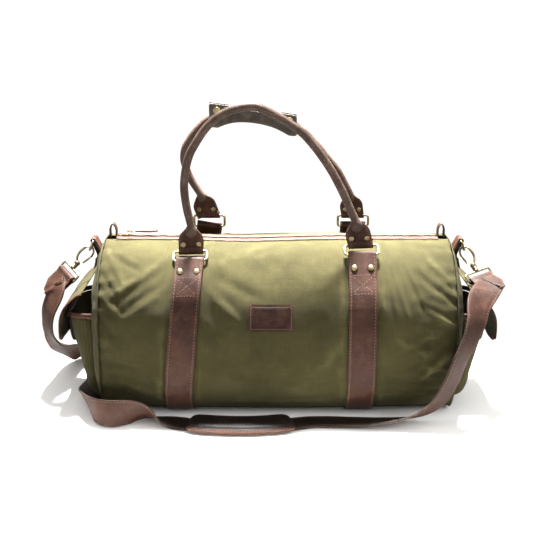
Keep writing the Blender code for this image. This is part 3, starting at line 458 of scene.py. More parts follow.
def leather_material(name, dark, middle, light, rough, grain=620.0, coat=0.012, depth=0.45):
    """Oiled leather: pebbled grain, fine creases, cloudy dye and lighter rubbed edges."""
    made, tree, shader = start_material(name, middle, rough, coat=coat)
    spot = node(tree, "ShaderNodeTexCoord").outputs["Object"]
    broad = noise_of(tree, spot, 16.0, 4.0)
    blotch = noise_of(tree, spot, 70.0, 5.0, 0.65)
    jitter = node(tree, "ShaderNodeTexNoise", {"Vector": spot, "Scale": 120.0}).outputs["Color"]
    jitter = node(tree, "ShaderNodeVectorMath", {0: jitter, "Scale": 0.004}, operation="SCALE").outputs[0]
    bent = node(tree, "ShaderNodeVectorMath", {0: spot, 1: jitter}, operation="ADD").outputs[0]
    pebble = node(tree, "ShaderNodeTexVoronoi", {"Vector": bent, "Scale": grain},
                  feature="F1").outputs["Distance"]
    crease = node(tree, "ShaderNodeTexVoronoi", {"Vector": bent, "Scale": grain * 0.3},
                  feature="DISTANCE_TO_EDGE").outputs["Distance"]
    crack = span(tree, crease, 0.0, 0.09, 1.0, 0.0)
    colour = mix(tree, span(tree, broad, 0.33, 0.68, 0.0, 1.0), dark, middle)
    colour = mix(tree, span(tree, blotch, 0.45, 0.75, 0.0, 0.55), colour, light)
    colour = mix(tree, maths(tree, "MULTIPLY", crack, 0.35), colour, tuple(c * 0.4 for c in dark))
    rub = node(tree, "ShaderNodeAttribute", attribute_name="wear").outputs["Fac"]
    colour = mix(tree, maths(tree, "MULTIPLY", rub, span(tree, blotch, 0.3, 0.62, 0.15, 1.0)), colour, light)
    tree.links.new(colour, shader.inputs["Base Color"])
    tree.links.new(span(tree, blotch, 0.3, 0.7, rough - 0.10, rough + 0.12), shader.inputs["Roughness"])
    height = maths(tree, "SUBTRACT", maths(tree, "MULTIPLY", pebble, -0.6),
                   maths(tree, "MULTIPLY", crack, 0.5))
    height = maths(tree, "ADD", height, maths(tree, "MULTIPLY", blotch, 0.5))
    finish_bump(tree, shader, height, depth, 0.0004)
    return made


def metal_material(name, dark, bright, rough):
    """Antique brass: bright where it is rubbed, brown where it is not."""
    made, tree, shader = start_material(name, bright, rough, metallic=1.0)
    spot = node(tree, "ShaderNodeTexCoord").outputs["Object"]
    stain = noise_of(tree, spot, 160.0, 5.0, 0.6)
    fine = noise_of(tree, spot, 900.0, 3.0)
    colour = mix(tree, span(tree, stain, 0.38, 0.62, 0.0, 1.0), dark, bright)
    tree.links.new(colour, shader.inputs["Base Color"])
    tree.links.new(span(tree, stain, 0.3, 0.7, rough + 0.14, rough - 0.05), shader.inputs["Roughness"])
    finish_bump(tree, shader, maths(tree, "ADD", fine, stain), 0.12, 0.0002)
    return made


def twill_material(name, dark, light, scale=700.0):
    """Close ribbed tape, as on a zip or a lining."""
    made, tree, shader = start_material(name, light, 0.85, sheen=0.08)
    spot = node(tree, "ShaderNodeTexCoord").outputs["Object"]
    ribs = node(tree, "ShaderNodeTexWave", {"Vector": spot, "Scale": scale * 0.4, "Distortion": 0.6},
                bands_direction="DIAGONAL").outputs["Fac"]
    cloud = noise_of(tree, spot, 40.0, 4.0)
    colour = mix(tree, cloud, dark, light)
    colour = mix(tree, maths(tree, "MULTIPLY", ribs, 0.4), colour, dark)
    tree.links.new(colour, shader.inputs["Base Color"])
    finish_bump(tree, shader, ribs, 0.4, 0.0003)
    return made


def thread_material(name, dark, light):
    """Waxed thread with its twist."""
    made, tree, shader = start_material(name, light, 0.6)
    spot = node(tree, "ShaderNodeTexCoord").outputs["Object"]
    twist = node(tree, "ShaderNodeTexWave", {"Vector": spot, "Scale": 420.0, "Distortion": 0.5},
                 bands_direction="DIAGONAL").outputs["Fac"]
    tree.links.new(mix(tree, twist, dark, light), shader.inputs["Base Color"])
    tree.links.new(span(tree, noise_of(tree, spot, 60.0), 0.3, 0.7, 0.5, 0.75), shader.inputs["Roughness"])
    finish_bump(tree, shader, twist, 0.3, 0.0001)
    return made


CANVAS_CLOTH = canvas_material("olive_canvas", (0.030, 0.0255, 0.0070), (0.051, 0.0435, 0.0130),
                               (0.092, 0.080, 0.031))
BINDING = leather_material("rust_binding", (0.024, 0.0085, 0.0043), (0.050, 0.017, 0.0083),
                           (0.10, 0.040, 0.021), 0.60)
STRAP = leather_material("strap_leather", (0.0185, 0.0068, 0.0036), (0.037, 0.0138, 0.0074),
                         (0.080, 0.035, 0.021), 0.60)
# painted shade: a near-black leather that stands in for the shade on the shoulder strap's reverse and on the
# raised middle of the pad
SHADE_LEATHER = leather_material("dark_leather", (0.0060, 0.0040, 0.0030), (0.0105, 0.0070, 0.0052),
                        (0.028, 0.019, 0.014), 0.60)
GRIP = leather_material("handle_leather", (0.026, 0.0150, 0.0105), (0.050, 0.0300, 0.0220),
                        (0.115, 0.076, 0.058), 0.50, grain=760.0)
WRAP = leather_material("wrap_leather", (0.034, 0.028, 0.023), (0.062, 0.052, 0.043),
                        (0.13, 0.112, 0.095), 0.52)
FACING = leather_material("facing_leather", (0.026, 0.0115, 0.0080), (0.045, 0.021, 0.0150),
                          (0.090, 0.050, 0.038), 0.58)
EDGE = leather_material("painted_edge", (0.0070, 0.0040, 0.0030), (0.014, 0.0080, 0.0055),
                        (0.035, 0.021, 0.015), 0.55)
BRASS = metal_material("antique_brass", (0.13, 0.095, 0.050), (0.42, 0.34, 0.19), 0.32)
BRASS_DARK = metal_material("dark_brass", (0.09, 0.071, 0.042), (0.30, 0.25, 0.16), 0.36)
THREAD = thread_material("brown_thread", (0.060, 0.034, 0.024), (0.19, 0.125, 0.092))
OLIVE_THREAD = thread_material("olive_thread", (0.050, 0.044, 0.016), (0.12, 0.105, 0.048))
TAPE = twill_material("zip_tape", (0.010, 0.007, 0.005), (0.026, 0.018, 0.013))
LINING = twill_material("lining_cloth", (0.10, 0.085, 0.06), (0.19, 0.165, 0.12), 500.0)
BOARD = twill_material("board_cover", (0.02, 0.02, 0.02), (0.045, 0.043, 0.04), 300.0)


# ---- meshes ----
def place(obj, body, slot_name, *nodes):
    """Puts a finished piece on its body and, where it stands for CAD nodes, hides them."""
    bpy.context.scene.collection.objects.link(obj)
    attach(obj, body)
    if nodes:
        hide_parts(*nodes)
    return obj


def add_modifiers(obj, *kinds):
    """Adds (kind, settings) modifiers in order."""
    for kind, settings in kinds:
        modifier = obj.modifiers.new(kind.lower(), kind)
        for key, value in settings.items():
            setattr(modifier, key, value)


def mesh_object(name, verts, faces, mats, corners=None, picks=None, wear=None, closed=True):
    """A mesh from points and faces, with its materials, UVs and wear."""
    mesh = bpy.data.meshes.new(name)
    mesh.from_pydata(np.asarray(verts, float).tolist(), [], faces)
    for mat in mats:
        mesh.materials.append(mat)
    if picks is not None:
        mesh.polygons.foreach_set("material_index", np.asarray(picks, np.int32))
    if corners is not None:
        layer = mesh.uv_layers.new(name="UVMap")
        layer.data.foreach_set("uv", np.asarray(corners, np.float32).ravel())
    if wear is not None:
        field = mesh.attributes.new("wear", "FLOAT", "POINT")
        field.data.foreach_set("value", np.asarray(wear, np.float32).ravel())
    mesh.shade_smooth()
    if closed:
        turn_outward(mesh)
    mesh.update()
    return bpy.data.objects.new(name, mesh)


def turn_outward(mesh):
    """Flips a closed mesh whose faces look inward."""
    count = len(mesh.polygons)
    centres = np.empty(count * 3)
    normals = np.empty(count * 3)
    areas = np.empty(count)
    mesh.polygons.foreach_get("center", centres)
    mesh.polygons.foreach_get("normal", normals)
    mesh.polygons.foreach_get("area", areas)
    centres = centres.reshape(-1, 3)
    centres = centres - centres.mean(axis=0)
    if np.sum(np.sum(centres * normals.reshape(-1, 3), axis=1) * areas) < 0:
        mesh.flip_normals()


def grid(name, points, uv, mats, closed=False, caps=False, wear=None, column_pick=None, flip=False,
         solid=True):
    """A grid of points as faces, wrapped round and capped where asked."""
    points = np.asarray(points, float)
    n, m = points.shape[:2]
    faces, corners, picks = [], [], []
    for i in range(n - 1):
        for j in range(m if closed else m - 1):
            k = (j + 1) % m
            quad = [(i, j, j), (i, k, j + 1), (i + 1, k, j + 1), (i + 1, j, j)]
            if flip:
                quad = quad[::-1]
            faces.append([a * m + b for a, b, _ in quad])
            corners += [uv[a][c] for a, _, c in quad]
            picks.append(column_pick[j] if column_pick is not None else 0)
    if caps:
        for row, order in ((0, 1), (n - 1, -1)):
            ring = list(range(m))[::order]
            faces.append([row * m + j for j in ring])
            corners += [uv[row][j] for j in ring]
            picks.append(max(column_pick) if column_pick is not None else 0)
    return mesh_object(name, points.reshape(-1, 3), faces, mats, corners, picks,
                       None if wear is None else np.asarray(wear).reshape(-1), solid)


UPPER = [(-1.0, 0.0), (-0.985, 0.62), (-0.95, 0.94), (-0.88, 1.0), (-0.84, 0.86), (-0.80, 1.0), (-0.45, 1.03),
         (0.0, 1.06), (0.45, 1.03), (0.80, 1.0), (0.84, 0.86), (0.88, 1.0), (0.95, 0.94), (0.985, 0.62),
         (1.0, 0.0)]
LOWER = [(0.985, -0.62), (0.95, -0.94), (0.45, -1.0), (0.0, -1.0), (-0.45, -1.0), (-0.95, -0.94),
         (-0.985, -0.62)]


def frames_of(line, sides):
    """The line, its side directions made square to it, and its upward directions."""
    line = np.asarray(line, float)
    run = runs_of(line)
    sides = square_to(run, sides)
    return line, sides, np.cross(run, sides)


def sweep(name, line, sides, width, thick, mats, groove=GROOVE, ripple=0.0):
    """A strap: rounded edges, a pressed groove where it is stitched. Materials: face, edge, reverse."""
    line, sides, up = frames_of(line, sides)
    width = np.broadcast_to(np.asarray(width, float), (len(line),))
    steps = steps_of(line)
    profile = np.array(UPPER + LOWER)
    across = profile[:, 0].copy()
    moved = np.sign(across) * (np.abs(across) - GROOVE + groove)
    profile[:, 0] = np.where(np.abs(np.abs(across) - GROOVE) < 0.045, moved, across)
    points = (line[:, None, :] + sides[:, None, :] * (profile[None, :, :1] * width[:, None, None] / 2)
              + up[:, None, :] * (profile[None, :, 1:] * thick / 2))
    if ripple:
        for i in range(len(line)):
            for j, (a, _) in enumerate(profile):
                lift = noise.noise(Vector((steps[i] * 30, a * 0.9, 3.7))) * ripple
                points[i, j] += up[i] * lift
    around = np.concatenate([[0], np.cumsum(np.linalg.norm(np.diff(np.vstack([profile, profile[:1]])
                                                                   * [1, 0.1], axis=0), axis=1))])
    uv = [[(s, a * float(w) / 2) for a in around] for s, w in zip(steps, width)]
    wear = np.tile((np.abs(profile[:, 0]) > 0.94).astype(float), (len(line), 1))
    tops = len(UPPER)
    pick = []
    for j, (here, after) in enumerate(zip(profile[:, 0], np.roll(profile[:, 0], -1))):
        kind = 1 if abs(here) + abs(after) > 1.93 else (0 if j < tops - 1 else 2)
        pick.append(min(kind, len(mats) - 1))
    return grid(name, points, uv, mats, closed=True, caps=True, wear=wear, column_pick=pick)


def tube(name, line, radius, mats, across=None, flat=1.0, sides=16, closed=False):
    """A round or oval rod; radius and flat may change along it. across is the oval's wide direction."""
    line = np.asarray(line, float)
    count = len(line)
    if closed:
        run = np.roll(line, -1, axis=0) - np.roll(line, 1, axis=0)
    else:
        run = np.gradient(line, axis=0)
    run /= np.linalg.norm(run, axis=1)[:, None]
    if across is None:
        guess = np.array([0.0, 0, 1]) if abs(run[0][2]) < 0.9 else np.array([1.0, 0, 0])
        wide = [unit(guess - run[0] * (guess @ run[0]))]
        for t in run[1:]:
            wide.append(unit(wide[-1] - t * (wide[-1] @ t)))
        wide = np.array(wide)
    else:
        wide = square_to(run, across)
    high = np.cross(run, wide)
    radius = np.broadcast_to(np.asarray(radius, float), (count,))
    flat = np.broadcast_to(np.asarray(flat, float), (count,))
    turn = np.linspace(0, 2 * math.pi, sides, endpoint=False)
    points = (line[:, None, :] + wide[:, None, :] * (np.cos(turn)[None, :, None] * radius[:, None, None])
              + high[:, None, :] * (np.sin(turn)[None, :, None] * (radius * flat)[:, None, None]))
    steps = steps_of(line)
    if closed:
        points = np.concatenate([points, points[:1]])
        steps = np.append(steps, steps[-1] + np.linalg.norm(line[0] - line[-1]))
        verts = points[:-1].reshape(-1, 3)
        faces, corners = [], []
        for i in range(count):
            for j in range(sides):
                a, b, k = i, (i + 1) % count, (j + 1) % sides
                faces.append([a * sides + j, a * sides + k, b * sides + k, b * sides + j])
                v = radius[0] * 2 * math.pi / sides
                corners += [(steps[i], j * v), (steps[i], (j + 1) * v), (steps[i + 1], (j + 1) * v),
                            (steps[i + 1], j * v)]
        return mesh_object(name, verts, faces, mats, corners)
    uv = [[(s, j * r * 2 * math.pi / sides) for j in range(sides + 1)] for s, r in zip(steps, radius)]
    return grid(name, points, uv, mats, closed=True, caps=True)


def lathe(name, foot, axis, profile, mats, sides=24):
    """A turned piece: (distance along the axis, radius) pairs."""
    axis = unit(axis)
    line = np.array([np.asarray(foot, float) + axis * d for d, _ in profile])
    guess = np.array([1.0, 0, 0]) if abs(axis[0]) < 0.8 else np.array([0, 1.0, 0])
    wide = unit(guess - axis * (guess @ axis))
    high = np.cross(axis, wide)
    turn = np.linspace(0, 2 * math.pi, sides, endpoint=False)
    points = [[p + (wide * math.cos(a) + high * math.sin(a)) * r for a in turn]
              for p, (_, r) in zip(line, profile)]
    uv = [[(d, j * 0.001) for j in range(sides + 1)] for d, _ in profile]
    return grid(name, points, uv, mats, closed=True, caps=True)


def join(name, *objects):
    """Several meshes as one object, each keeping its materials."""
    verts, faces, picks, corners, wear, mats = [], [], [], [], [], []
    for obj in objects:
        mesh = obj.data
        first = len(verts)
        verts += [tuple(v.co) for v in mesh.vertices]
        wear += ([d.value for d in mesh.attributes["wear"].data] if "wear" in mesh.attributes
                 else [0.0] * len(mesh.vertices))
        shift = []
        for mat in mesh.materials:
            if mat not in mats:
                mats.append(mat)
            shift.append(mats.index(mat))
        layer = mesh.uv_layers[0].data if mesh.uv_layers else None
        for face in mesh.polygons:
            faces.append([first + v for v in face.vertices])
            picks.append(shift[face.material_index])
            corners += [tuple(layer[i].uv) if layer else (0, 0) for i in face.loop_indices]
        bpy.data.objects.remove(obj)
        bpy.data.meshes.remove(mesh)
    return mesh_object(name, verts, faces, mats, corners, picks, wear, closed=False)


def rod_faces(first, mirrored=False):
    """Faces of a short rod that has four rings of six points."""
    faces = []
    for ring in range(3):
        for j in range(6):
            a, b = first + ring * 6 + j, first + ring * 6 + (j + 1) % 6
            faces.append([a, b, b + 6, a + 6] if mirrored else [a, a + 6, b + 6, b])
    near_end = [first + j for j in range(6)]
    far_end = [first + 18 + j for j in range(6)]
    faces.append(near_end[::-1] if mirrored else near_end)
    faces.append(far_end if mirrored else far_end[::-1])
    return faces


STITCHES = {}      # (body and row name, thread) to [points, faces]


def stitch(key, line, normals, pitch=0.0044, length=0.0030, radius=0.00036, mat=THREAD):
    """A row of stitches along a line that lies on a surface."""
    line = np.asarray(line, float)
    normals = np.broadcast_to(np.asarray(normals, float), line.shape)
    steps = steps_of(line)
    count = max(1, int(steps[-1] / pitch))
    batch = STITCHES.setdefault((key, mat.name), [[], []])
    for s in (np.arange(count) + 0.5) * steps[-1] / count:
        ends = [np.array([np.interp(s + d, steps, line[:, k]) for k in range(3)])
                for d in (-length / 2, length / 2)]
        if np.linalg.norm(ends[1] - ends[0]) < length * 0.4:
            continue
        run = unit(ends[1] - ends[0])
        up = unit([np.interp(s, steps, normals[:, k]) for k in range(3)])
        up = unit(up - run * (up @ run))
        if ends[0][2] < 0.0015 and up[2] < -0.5:
            continue
        wide = np.cross(run, up)
        first = len(batch[0])
        for share, size, lift in ((0.0, 0.35, -0.9), (0.18, 1.0, 0.25), (0.82, 1.0, 0.25), (1.0, 0.35, -0.9)):
            middle = ends[0] + (ends[1] - ends[0]) * share + up * radius * lift
            for a in np.linspace(0, 2 * math.pi, 6, endpoint=False):
                batch[0].append(middle + (wide * math.cos(a) + up * math.sin(a)) * radius * size)
        batch[1] += rod_faces(first)


def stitch_edges(key, line, sides, width, thick, groove=GROOVE, both=False):
    """Rows of stitches in both grooves of a strap."""
    line, sides, up = frames_of(line, sides)
    width = np.broadcast_to(np.asarray(width, float), (len(line),))
    for a in (-groove, groove):
        row = line + sides * (a * width / 2)[:, None]
        for face in (1, -1) if both else (1,):
            stitch(key, row + up * face * thick * 0.45, up * face)


def add_stitches():
    """One mesh of stitches for each body and thread."""
    made = {}
    for (key, mat), (verts, faces) in STITCHES.items():
        name = "stitching_" + key.replace(":", "_") + "_" + mat
        obj = mesh_object(name, verts, faces, [bpy.data.materials[mat]], closed=False)
        made[key] = place(obj, key.split(":")[0], "leather")
    return made


# ---- camera, light and floor ----
def make_stage():
    """The camera, the world, two lights and the floor."""
    camera = bpy.data.objects.new("camera", bpy.data.cameras.new("camera"))
    camera.data.lens = 68
    camera.location = (-0.015, -1.390, 0.558)
    camera.rotation_euler = (math.radians(75), 0, 0)
    bpy.context.scene.collection.objects.link(camera)
    bpy.context.scene.camera = camera

    world = bpy.data.worlds.new("studio")
    world.use_nodes = True
    world.node_tree.nodes["Background"].inputs["Color"].default_value = (1.0, 0.99, 0.97, 1)
    world.node_tree.nodes["Background"].inputs["Strength"].default_value = 1.20
    bpy.context.scene.world = world
    bpy.context.scene.view_settings.view_transform = "Standard"
    for name, spot, aim, size, power, spread in (
            ("top_light", (0.0, 0.27, 1.32), (0.0, 0.015, 0.24), (0.60, 0.22), 13.0, 17),
            ("right_light", (1.3, -0.7, 0.9), (0.15, -0.1, 0.15), (0.7, 0.7), 1.0, 60)):
        lamp = bpy.data.lights.new(name, "AREA")
        lamp.shape = "RECTANGLE"
        lamp.energy = power
        lamp.size, lamp.size_y = size
        lamp.spread = math.radians(spread)
        obj = bpy.data.objects.new(name, lamp)
        obj.location = spot
        obj.rotation_euler = (Vector(aim) - Vector(spot)).to_track_quat("-Z", "Y").to_euler()
        bpy.context.scene.collection.objects.link(obj)

    floor_mat, _, _ = start_material("pale_floor", (0.93, 0.93, 0.92), 0.9)
    mesh = bpy.data.meshes.new("floor")
    mesh.from_pydata([(-6, -4, 0), (6, -4, 0), (6, 8, 0), (-6, 8, 0)], [], [(0, 1, 2, 3)])
    mesh.materials.append(floor_mat)
    floor = bpy.data.objects.new("floor", mesh)
    bpy.context.scene.collection.objects.link(floor)


# ---- the soft shell ----
def sag(x, y):
    """How far the top of the bag hangs below its straight line."""
    return 0.0032 * math.exp(-((x + 0.045) / 0.075) ** 2) * math.exp(-(y / 0.055) ** 2)


def near(x, z, a, b):
    """Distance from (x, z) to the line a-b, its sign across the line, and how far along it lies."""
    dx, dz = b[0] - a[0], b[1] - a[1]
    t = max(0.0, min(1.0, ((x - a[0]) * dx + (z - a[1]) * dz) / (dx * dx + dz * dz)))
    ox, oz = x - a[0] - dx * t, z - a[1] - dz * t
    return math.hypot(ox, oz), math.copysign(1.0, dx * oz - dz * ox), t


FOLD_WIDTH_SHARE = 0.68      # the folds below are drawn in by these shares
FOLD_HEIGHT_SHARE = 0.72
# (start, end, half width, height) of folds, the first two as (x, z) pairs
FRONT_FOLDS = [
    ((-0.150, 0.214), (-0.232, 0.166), 0.0080, 0.0046), ((-0.148, 0.192), (-0.216, 0.146), 0.0075, -0.0034),
    ((-0.236, 0.226), (-0.205, 0.186), 0.0060, 0.0036), ((-0.222, 0.216), (-0.184, 0.200), 0.0050, -0.0030),
    ((-0.238, 0.200), (-0.214, 0.168), 0.0050, -0.0030), ((-0.238, 0.172), (-0.205, 0.142), 0.0065, 0.0030),
    ((-0.236, 0.140), (-0.216, 0.118), 0.0055, -0.0022), ((-0.090, 0.200), (-0.020, 0.168), 0.0100, -0.0030),
    ((-0.092, 0.180), (-0.050, 0.138), 0.0085, 0.0030), ((-0.060, 0.206), (0.070, 0.208), 0.0120, -0.0018),
    ((0.128, 0.208), (0.146, 0.140), 0.0036, 0.0021), ((0.140, 0.208), (0.158, 0.130), 0.0036, -0.0020),
    ((0.152, 0.210), (0.176, 0.140), 0.0042, 0.0020), ((0.166, 0.210), (0.196, 0.150), 0.0046, -0.0018),
    ((0.200, 0.216), (0.234, 0.186), 0.0060, 0.0036), ((0.188, 0.198), (0.238, 0.162), 0.0060, -0.0032),
    ((0.206, 0.150), (0.238, 0.132), 0.0060, 0.0026), ((0.150, 0.122), (0.218, 0.084), 0.0100, 0.0030),
    ((0.168, 0.098), (0.236, 0.122), 0.0070, -0.0034), ((0.186, 0.052), (0.238, 0.100), 0.0075, 0.0060),
    ((0.146, 0.058), (0.224, 0.052), 0.0070, -0.0048), ((0.190, 0.080), (0.238, 0.070), 0.0050, 0.0040),
    ((0.138, 0.036), (0.232, 0.032), 0.0065, 0.0036), ((0.176, 0.024), (0.236, 0.048), 0.0050, -0.0034),
    ((-0.238, 0.062), (-0.166, 0.038), 0.0090, 0.0032), ((-0.234, 0.088), (-0.176, 0.070), 0.0070, -0.0026),
    ((-0.234, 0.040), (-0.190, 0.026), 0.0055, -0.0026), ((-0.090, 0.030), (0.080, 0.032), 0.0070, -0.0026),
    ((-0.060, 0.060), (0.040, 0.045), 0.0120, 0.0022), ((-0.105, 0.150), (-0.060, 0.100), 0.0120, 0.0020),
    ((0.066, 0.160), (0.030, 0.095), 0.0120, -0.0016), ((0.090, 0.120), (0.050, 0.070), 0.0110, 0.0018),
]
REAR_FOLDS = [
    ((0.135, 0.198), (0.215, 0.170), 0.0085, 0.0026), ((0.130, 0.176), (0.190, 0.150), 0.0070, -0.0020),
    ((-0.230, 0.214), (-0.195, 0.190), 0.0060, 0.0022), ((-0.150, 0.190), (-0.212, 0.150), 0.0080, -0.0020),
    ((0.225, 0.215), (0.200, 0.195), 0.0055, -0.0020), ((-0.070, 0.198), (0.075, 0.200), 0.0120, -0.0020),
    ((-0.080, 0.035), (0.080, 0.030), 0.0070, -0.0018), ((0.150, 0.045), (0.225, 0.060), 0.0080, 0.0024),
    ((-0.225, 0.050), (-0.160, 0.045), 0.0080, 0.0022), ((-0.060, 0.120), (0.030, 0.090), 0.0150, 0.0014),
    ((0.060, 0.140), (0.085, 0.085), 0.0100, -0.0012), ((-0.220, 0.110), (-0.175, 0.090), 0.0080, -0.0016),
]


def lift_at(x, y, z, place_name):
    """How far the canvas stands off the plain skin."""
    seed = {"front": 0.0, "rear": 7.3, "base": 3.1}[place_name]
    d = 0.0018 * noise.noise(Vector((x * 9 + seed, z * 9, y * 9)))
    d += 0.0009 * noise.noise(Vector((x * 27, z * 27 + seed, y * 27)))
    corner = max(0.0, min(1.0, (abs(x) - 0.15) / 0.06)) * (1.0 if place_name != "base" else 0.3)
    crumple = 1 - abs(noise.noise(Vector((x * 34 + 5, z * 52 + seed, y * 30)))) * 2
    d += 0.0022 * corner * max(0.0, crumple - 0.45) * (1.6 if x > 0 and z < 0.13 else 0.8)
    if place_name != "base":
        d += 0.0004 * noise.noise(Vector((x * 75, z * 75 + seed, y * 40)))
        for a, b, half, height in (FRONT_FOLDS if place_name == "front" else REAR_FOLDS):
            half, height = half * FOLD_WIDTH_SHARE, height * FOLD_HEIGHT_SHARE
            away, sign, t = near(x, z, a, b)
            if away < half * 4:
                shape = math.exp(-(away / half) ** 2)
                shape -= 0.35 * math.exp(-((away - sign * half * 1.6) / half) ** 2)
                d += height * shape * math.sin(math.pi * min(1.0, max(0.0, t * 0.9 + 0.08))) ** 0.6
    edge = SEAM_X - abs(x)
    d += 0.0011 * math.sin((y * 0.4 + z) * 300 + 2 * noise.noise(Vector((z * 20, y * 20, seed)))) \
        * math.exp(-edge / 0.016)
    d -= 0.0016 * math.exp(-(edge / 0.005) ** 2)
    for side, _ in SIDES:
        off = abs(x - strap_x(side, y, z))
        d *= 1 - 0.93 * math.exp(-(off / 0.024) ** 6)
        d += 0.0013 * math.exp(-((off - 0.0265) / 0.006) ** 2)
    if place_name == "front":
        keep = math.exp(-((x + 0.009) / 0.036) ** 6 - ((z - 0.146) / 0.025) ** 6)
        d *= 1 - 0.92 * keep
    return d


def panel(name, limits, nx, ns, place_name, flip):
    """A stretch of canvas between two lines that run along the bag, with its folds."""
    points, uv, wear = [], [], []
    for x in np.linspace(-SEAM_X, SEAM_X, nx):
        angles = [skin_angle(x, y, lower) for y, lower in limits]
        line = skin_line(x, angles[0], angles[1], ns)
        run = runs_of(line)
        out = np.stack([run[:, 1], -run[:, 0]], axis=1)
        if np.sum(out * (line - [0, END_MIDDLE_Z])) < 0:
            out = -out
        steps = steps_of(line)
        row, coords, rubs = [], [], []
        for k, ((y, z), n) in enumerate(zip(line, out)):
            zip_edge = min(1.0, steps[k] / 0.012) if place_name != "base" else 1.0
            pucker = 0.0005 * math.sin(x * 420) * math.exp(-steps[k] / 0.008) if place_name != "base" else 0.0
            d = lift_at(x, y, z, place_name) * zip_edge + pucker * zip_edge
            flat = 1.0 if z > 0.012 else 0.0
            d = d * flat if z < 0.012 else d * min(1.0, (z - 0.012) / 0.02)
            row.append((x, y + n[0] * d, z + n[1] * d - (sag(x, y) if z > 0.15 else 0.0)))
            coords.append((x, steps[k]))
            rubs.append(max(0.0, min(1.0, (d - 0.0012) / 0.003)))
        points.append(row)
        uv.append(coords)
        wear.append(rubs)
    obj = grid(name, points, uv, [CANVAS_CLOTH], wear=wear, flip=flip, solid=False)
    add_modifiers(obj, ("SOLIDIFY", {"thickness": CANVAS, "offset": -1.0}))
    return obj


def make_shell():
    """The front, rear and base canvas, and the welts between them."""
    front = panel("canvas_front", [(-ZIP_HALF, False), (-BASE_HALF - BASE_SEAM, True)], 181, 88, "front",
                  False)
    place(front, "bag", "canvas", "front_panel")
    rear = panel("canvas_rear", [(ZIP_HALF, False), (BASE_HALF + BASE_SEAM, True)], 181, 88, "rear", True)
    place(rear, "bag", "canvas", "rear_panel")
    points, uv = [], []
    for x in np.linspace(-SEAM_X, SEAM_X, 61):
        first = skin_angle(x, -BASE_HALF, True)
        line = skin_line(x, first, 2 * math.pi - first, 41)
        points.append([(x, y, z + 0.0004 * noise.noise(Vector((x * 30, y * 30, 1)))
                        * min(1, abs(z - BASE_Z) * 500)) for y, z in line])
        uv.append([(x, y) for y, z in line])
    base = grid("canvas_base", points, uv, [CANVAS_CLOTH], solid=False)
    add_modifiers(base, ("SOLIDIFY", {"thickness": CANVAS, "offset": -1.0}))
    place(base, "bag", "canvas", "base_panel")
    welts = []
    for sign in (-1, 1):
        line = []
        for x in np.linspace(-SEAM_X, SEAM_X, 160):
            angle = skin_angle(x, -BASE_HALF - BASE_SEAM / 2, True) * (1 if sign < 0 else -1)
            y, z = skin(x, angle)
            line.append((x, y, max(z + 0.0002, 0.0012)))
        welts.append(tube("welt", line, 0.0011, [CANVAS_CLOTH], sides=8))
    place(join("base_welts", *welts), "bag", "canvas")


def outline_at(sign, shrink, count):
    """Points round the end panel, drawn in towards its middle by a factor."""
    return [(sign * dome_x(y, z), y, z) for y, z in end_outline(shrink, count)]


def make_end_panels():
    """The two canvas ends and their welts."""
    for side, sign in SIDES:
        count = 120
        points, uv = [], []
        for shrink in np.concatenate([np.linspace(1.0, 0.9, 12)[:-1], np.linspace(0.9, 0.12, 26)]):
            row = []
            for k, (x, y, z) in enumerate(outline_at(sign, shrink, count)):
                edge = (1 - shrink) * 0.11
                d = 0.0026 * noise.noise(Vector((y * 16, z * 16, sign * 3.0)))
                d += 0.0012 * noise.noise(Vector((y * 45, z * 45, sign * 5.0)))
                wobble = 2 * noise.noise(Vector((y * 20, z * 20, 1)))
                d += 0.0013 * math.sin(k * 2 * math.pi / count * 34 + wobble) * math.exp(-edge / 0.012)
                d = max(d, -0.0012) * min(1.0, edge / 0.006) if abs(y) > 0.08 or z > 0.15 else \
                    0.3 * max(d, -0.001) * min(1.0, edge / 0.006)
                if abs(y) < 0.02 and z > 0.175:
                    d = min(d, 0.0)
                row.append((x + sign * d, y, z))
            points.append(row)
            uv.append([(p[1], p[2]) for p in row] + [(row[0][1], row[0][2])])
        obj = grid(f"canvas_end_{side}", points, uv, [CANVAS_CLOTH], closed=True, flip=sign < 0, solid=False)
        mesh = obj.data
        ring = list(range(len(mesh.vertices) - count, len(mesh.vertices)))
        verts = [tuple(v.co) for v in mesh.vertices]
        middle = np.mean([verts[k] for k in ring], axis=0)
        faces = [list(f.vertices) for f in mesh.polygons]
        corners = [tuple(d.uv) for d in mesh.uv_layers[0].data]
        verts.append(tuple(middle))
        for k in range(count):
            tri = [ring[k], ring[(k + 1) % count], len(verts) - 1]
            tri = tri[::-1] if sign < 0 else tri
            faces.append(tri)
            corners += [(verts[v][1], verts[v][2]) for v in tri]
        bpy.data.objects.remove(obj)
        obj = mesh_object(f"canvas_end_{side}", verts, faces, [CANVAS_CLOTH], corners, closed=False)
        add_modifiers(obj, ("SOLIDIFY", {"thickness": 0.0016, "offset": -1.0}))
        place(obj, "bag", "canvas", f"end_panel_{side}")
        line = np.array([(sign * (SEAM_X + 0.0009), y * 1.004, END_MIDDLE_Z + (z - END_MIDDLE_Z) * 1.004)
                         for y, z in end_outline(1.0, 220)])
        line[:, 2] = np.maximum(line[:, 2], 0.0019)
        welt = tube(f"end_welt_{side}", line, 0.0009, [CANVAS_CLOTH], sides=10, closed=True)
        place(welt, "bag", "canvas")


# ---- leather straps round the bag ----
def dome(name, foot, out, radius, height, mats):
    """A domed rivet or snap head."""
    arc = [(0.0, radius * 0.9), (height * 0.12, radius)]
    arc += [(height * math.sin(a), radius * math.cos(a) ** 0.8 if math.cos(a) > 0 else 0.00002)
            for a in np.linspace(0.15, math.pi / 2, 8)]
    arc[-1] = (height, 0.00002)
    return lathe(name, foot, out, arc, mats, 28)


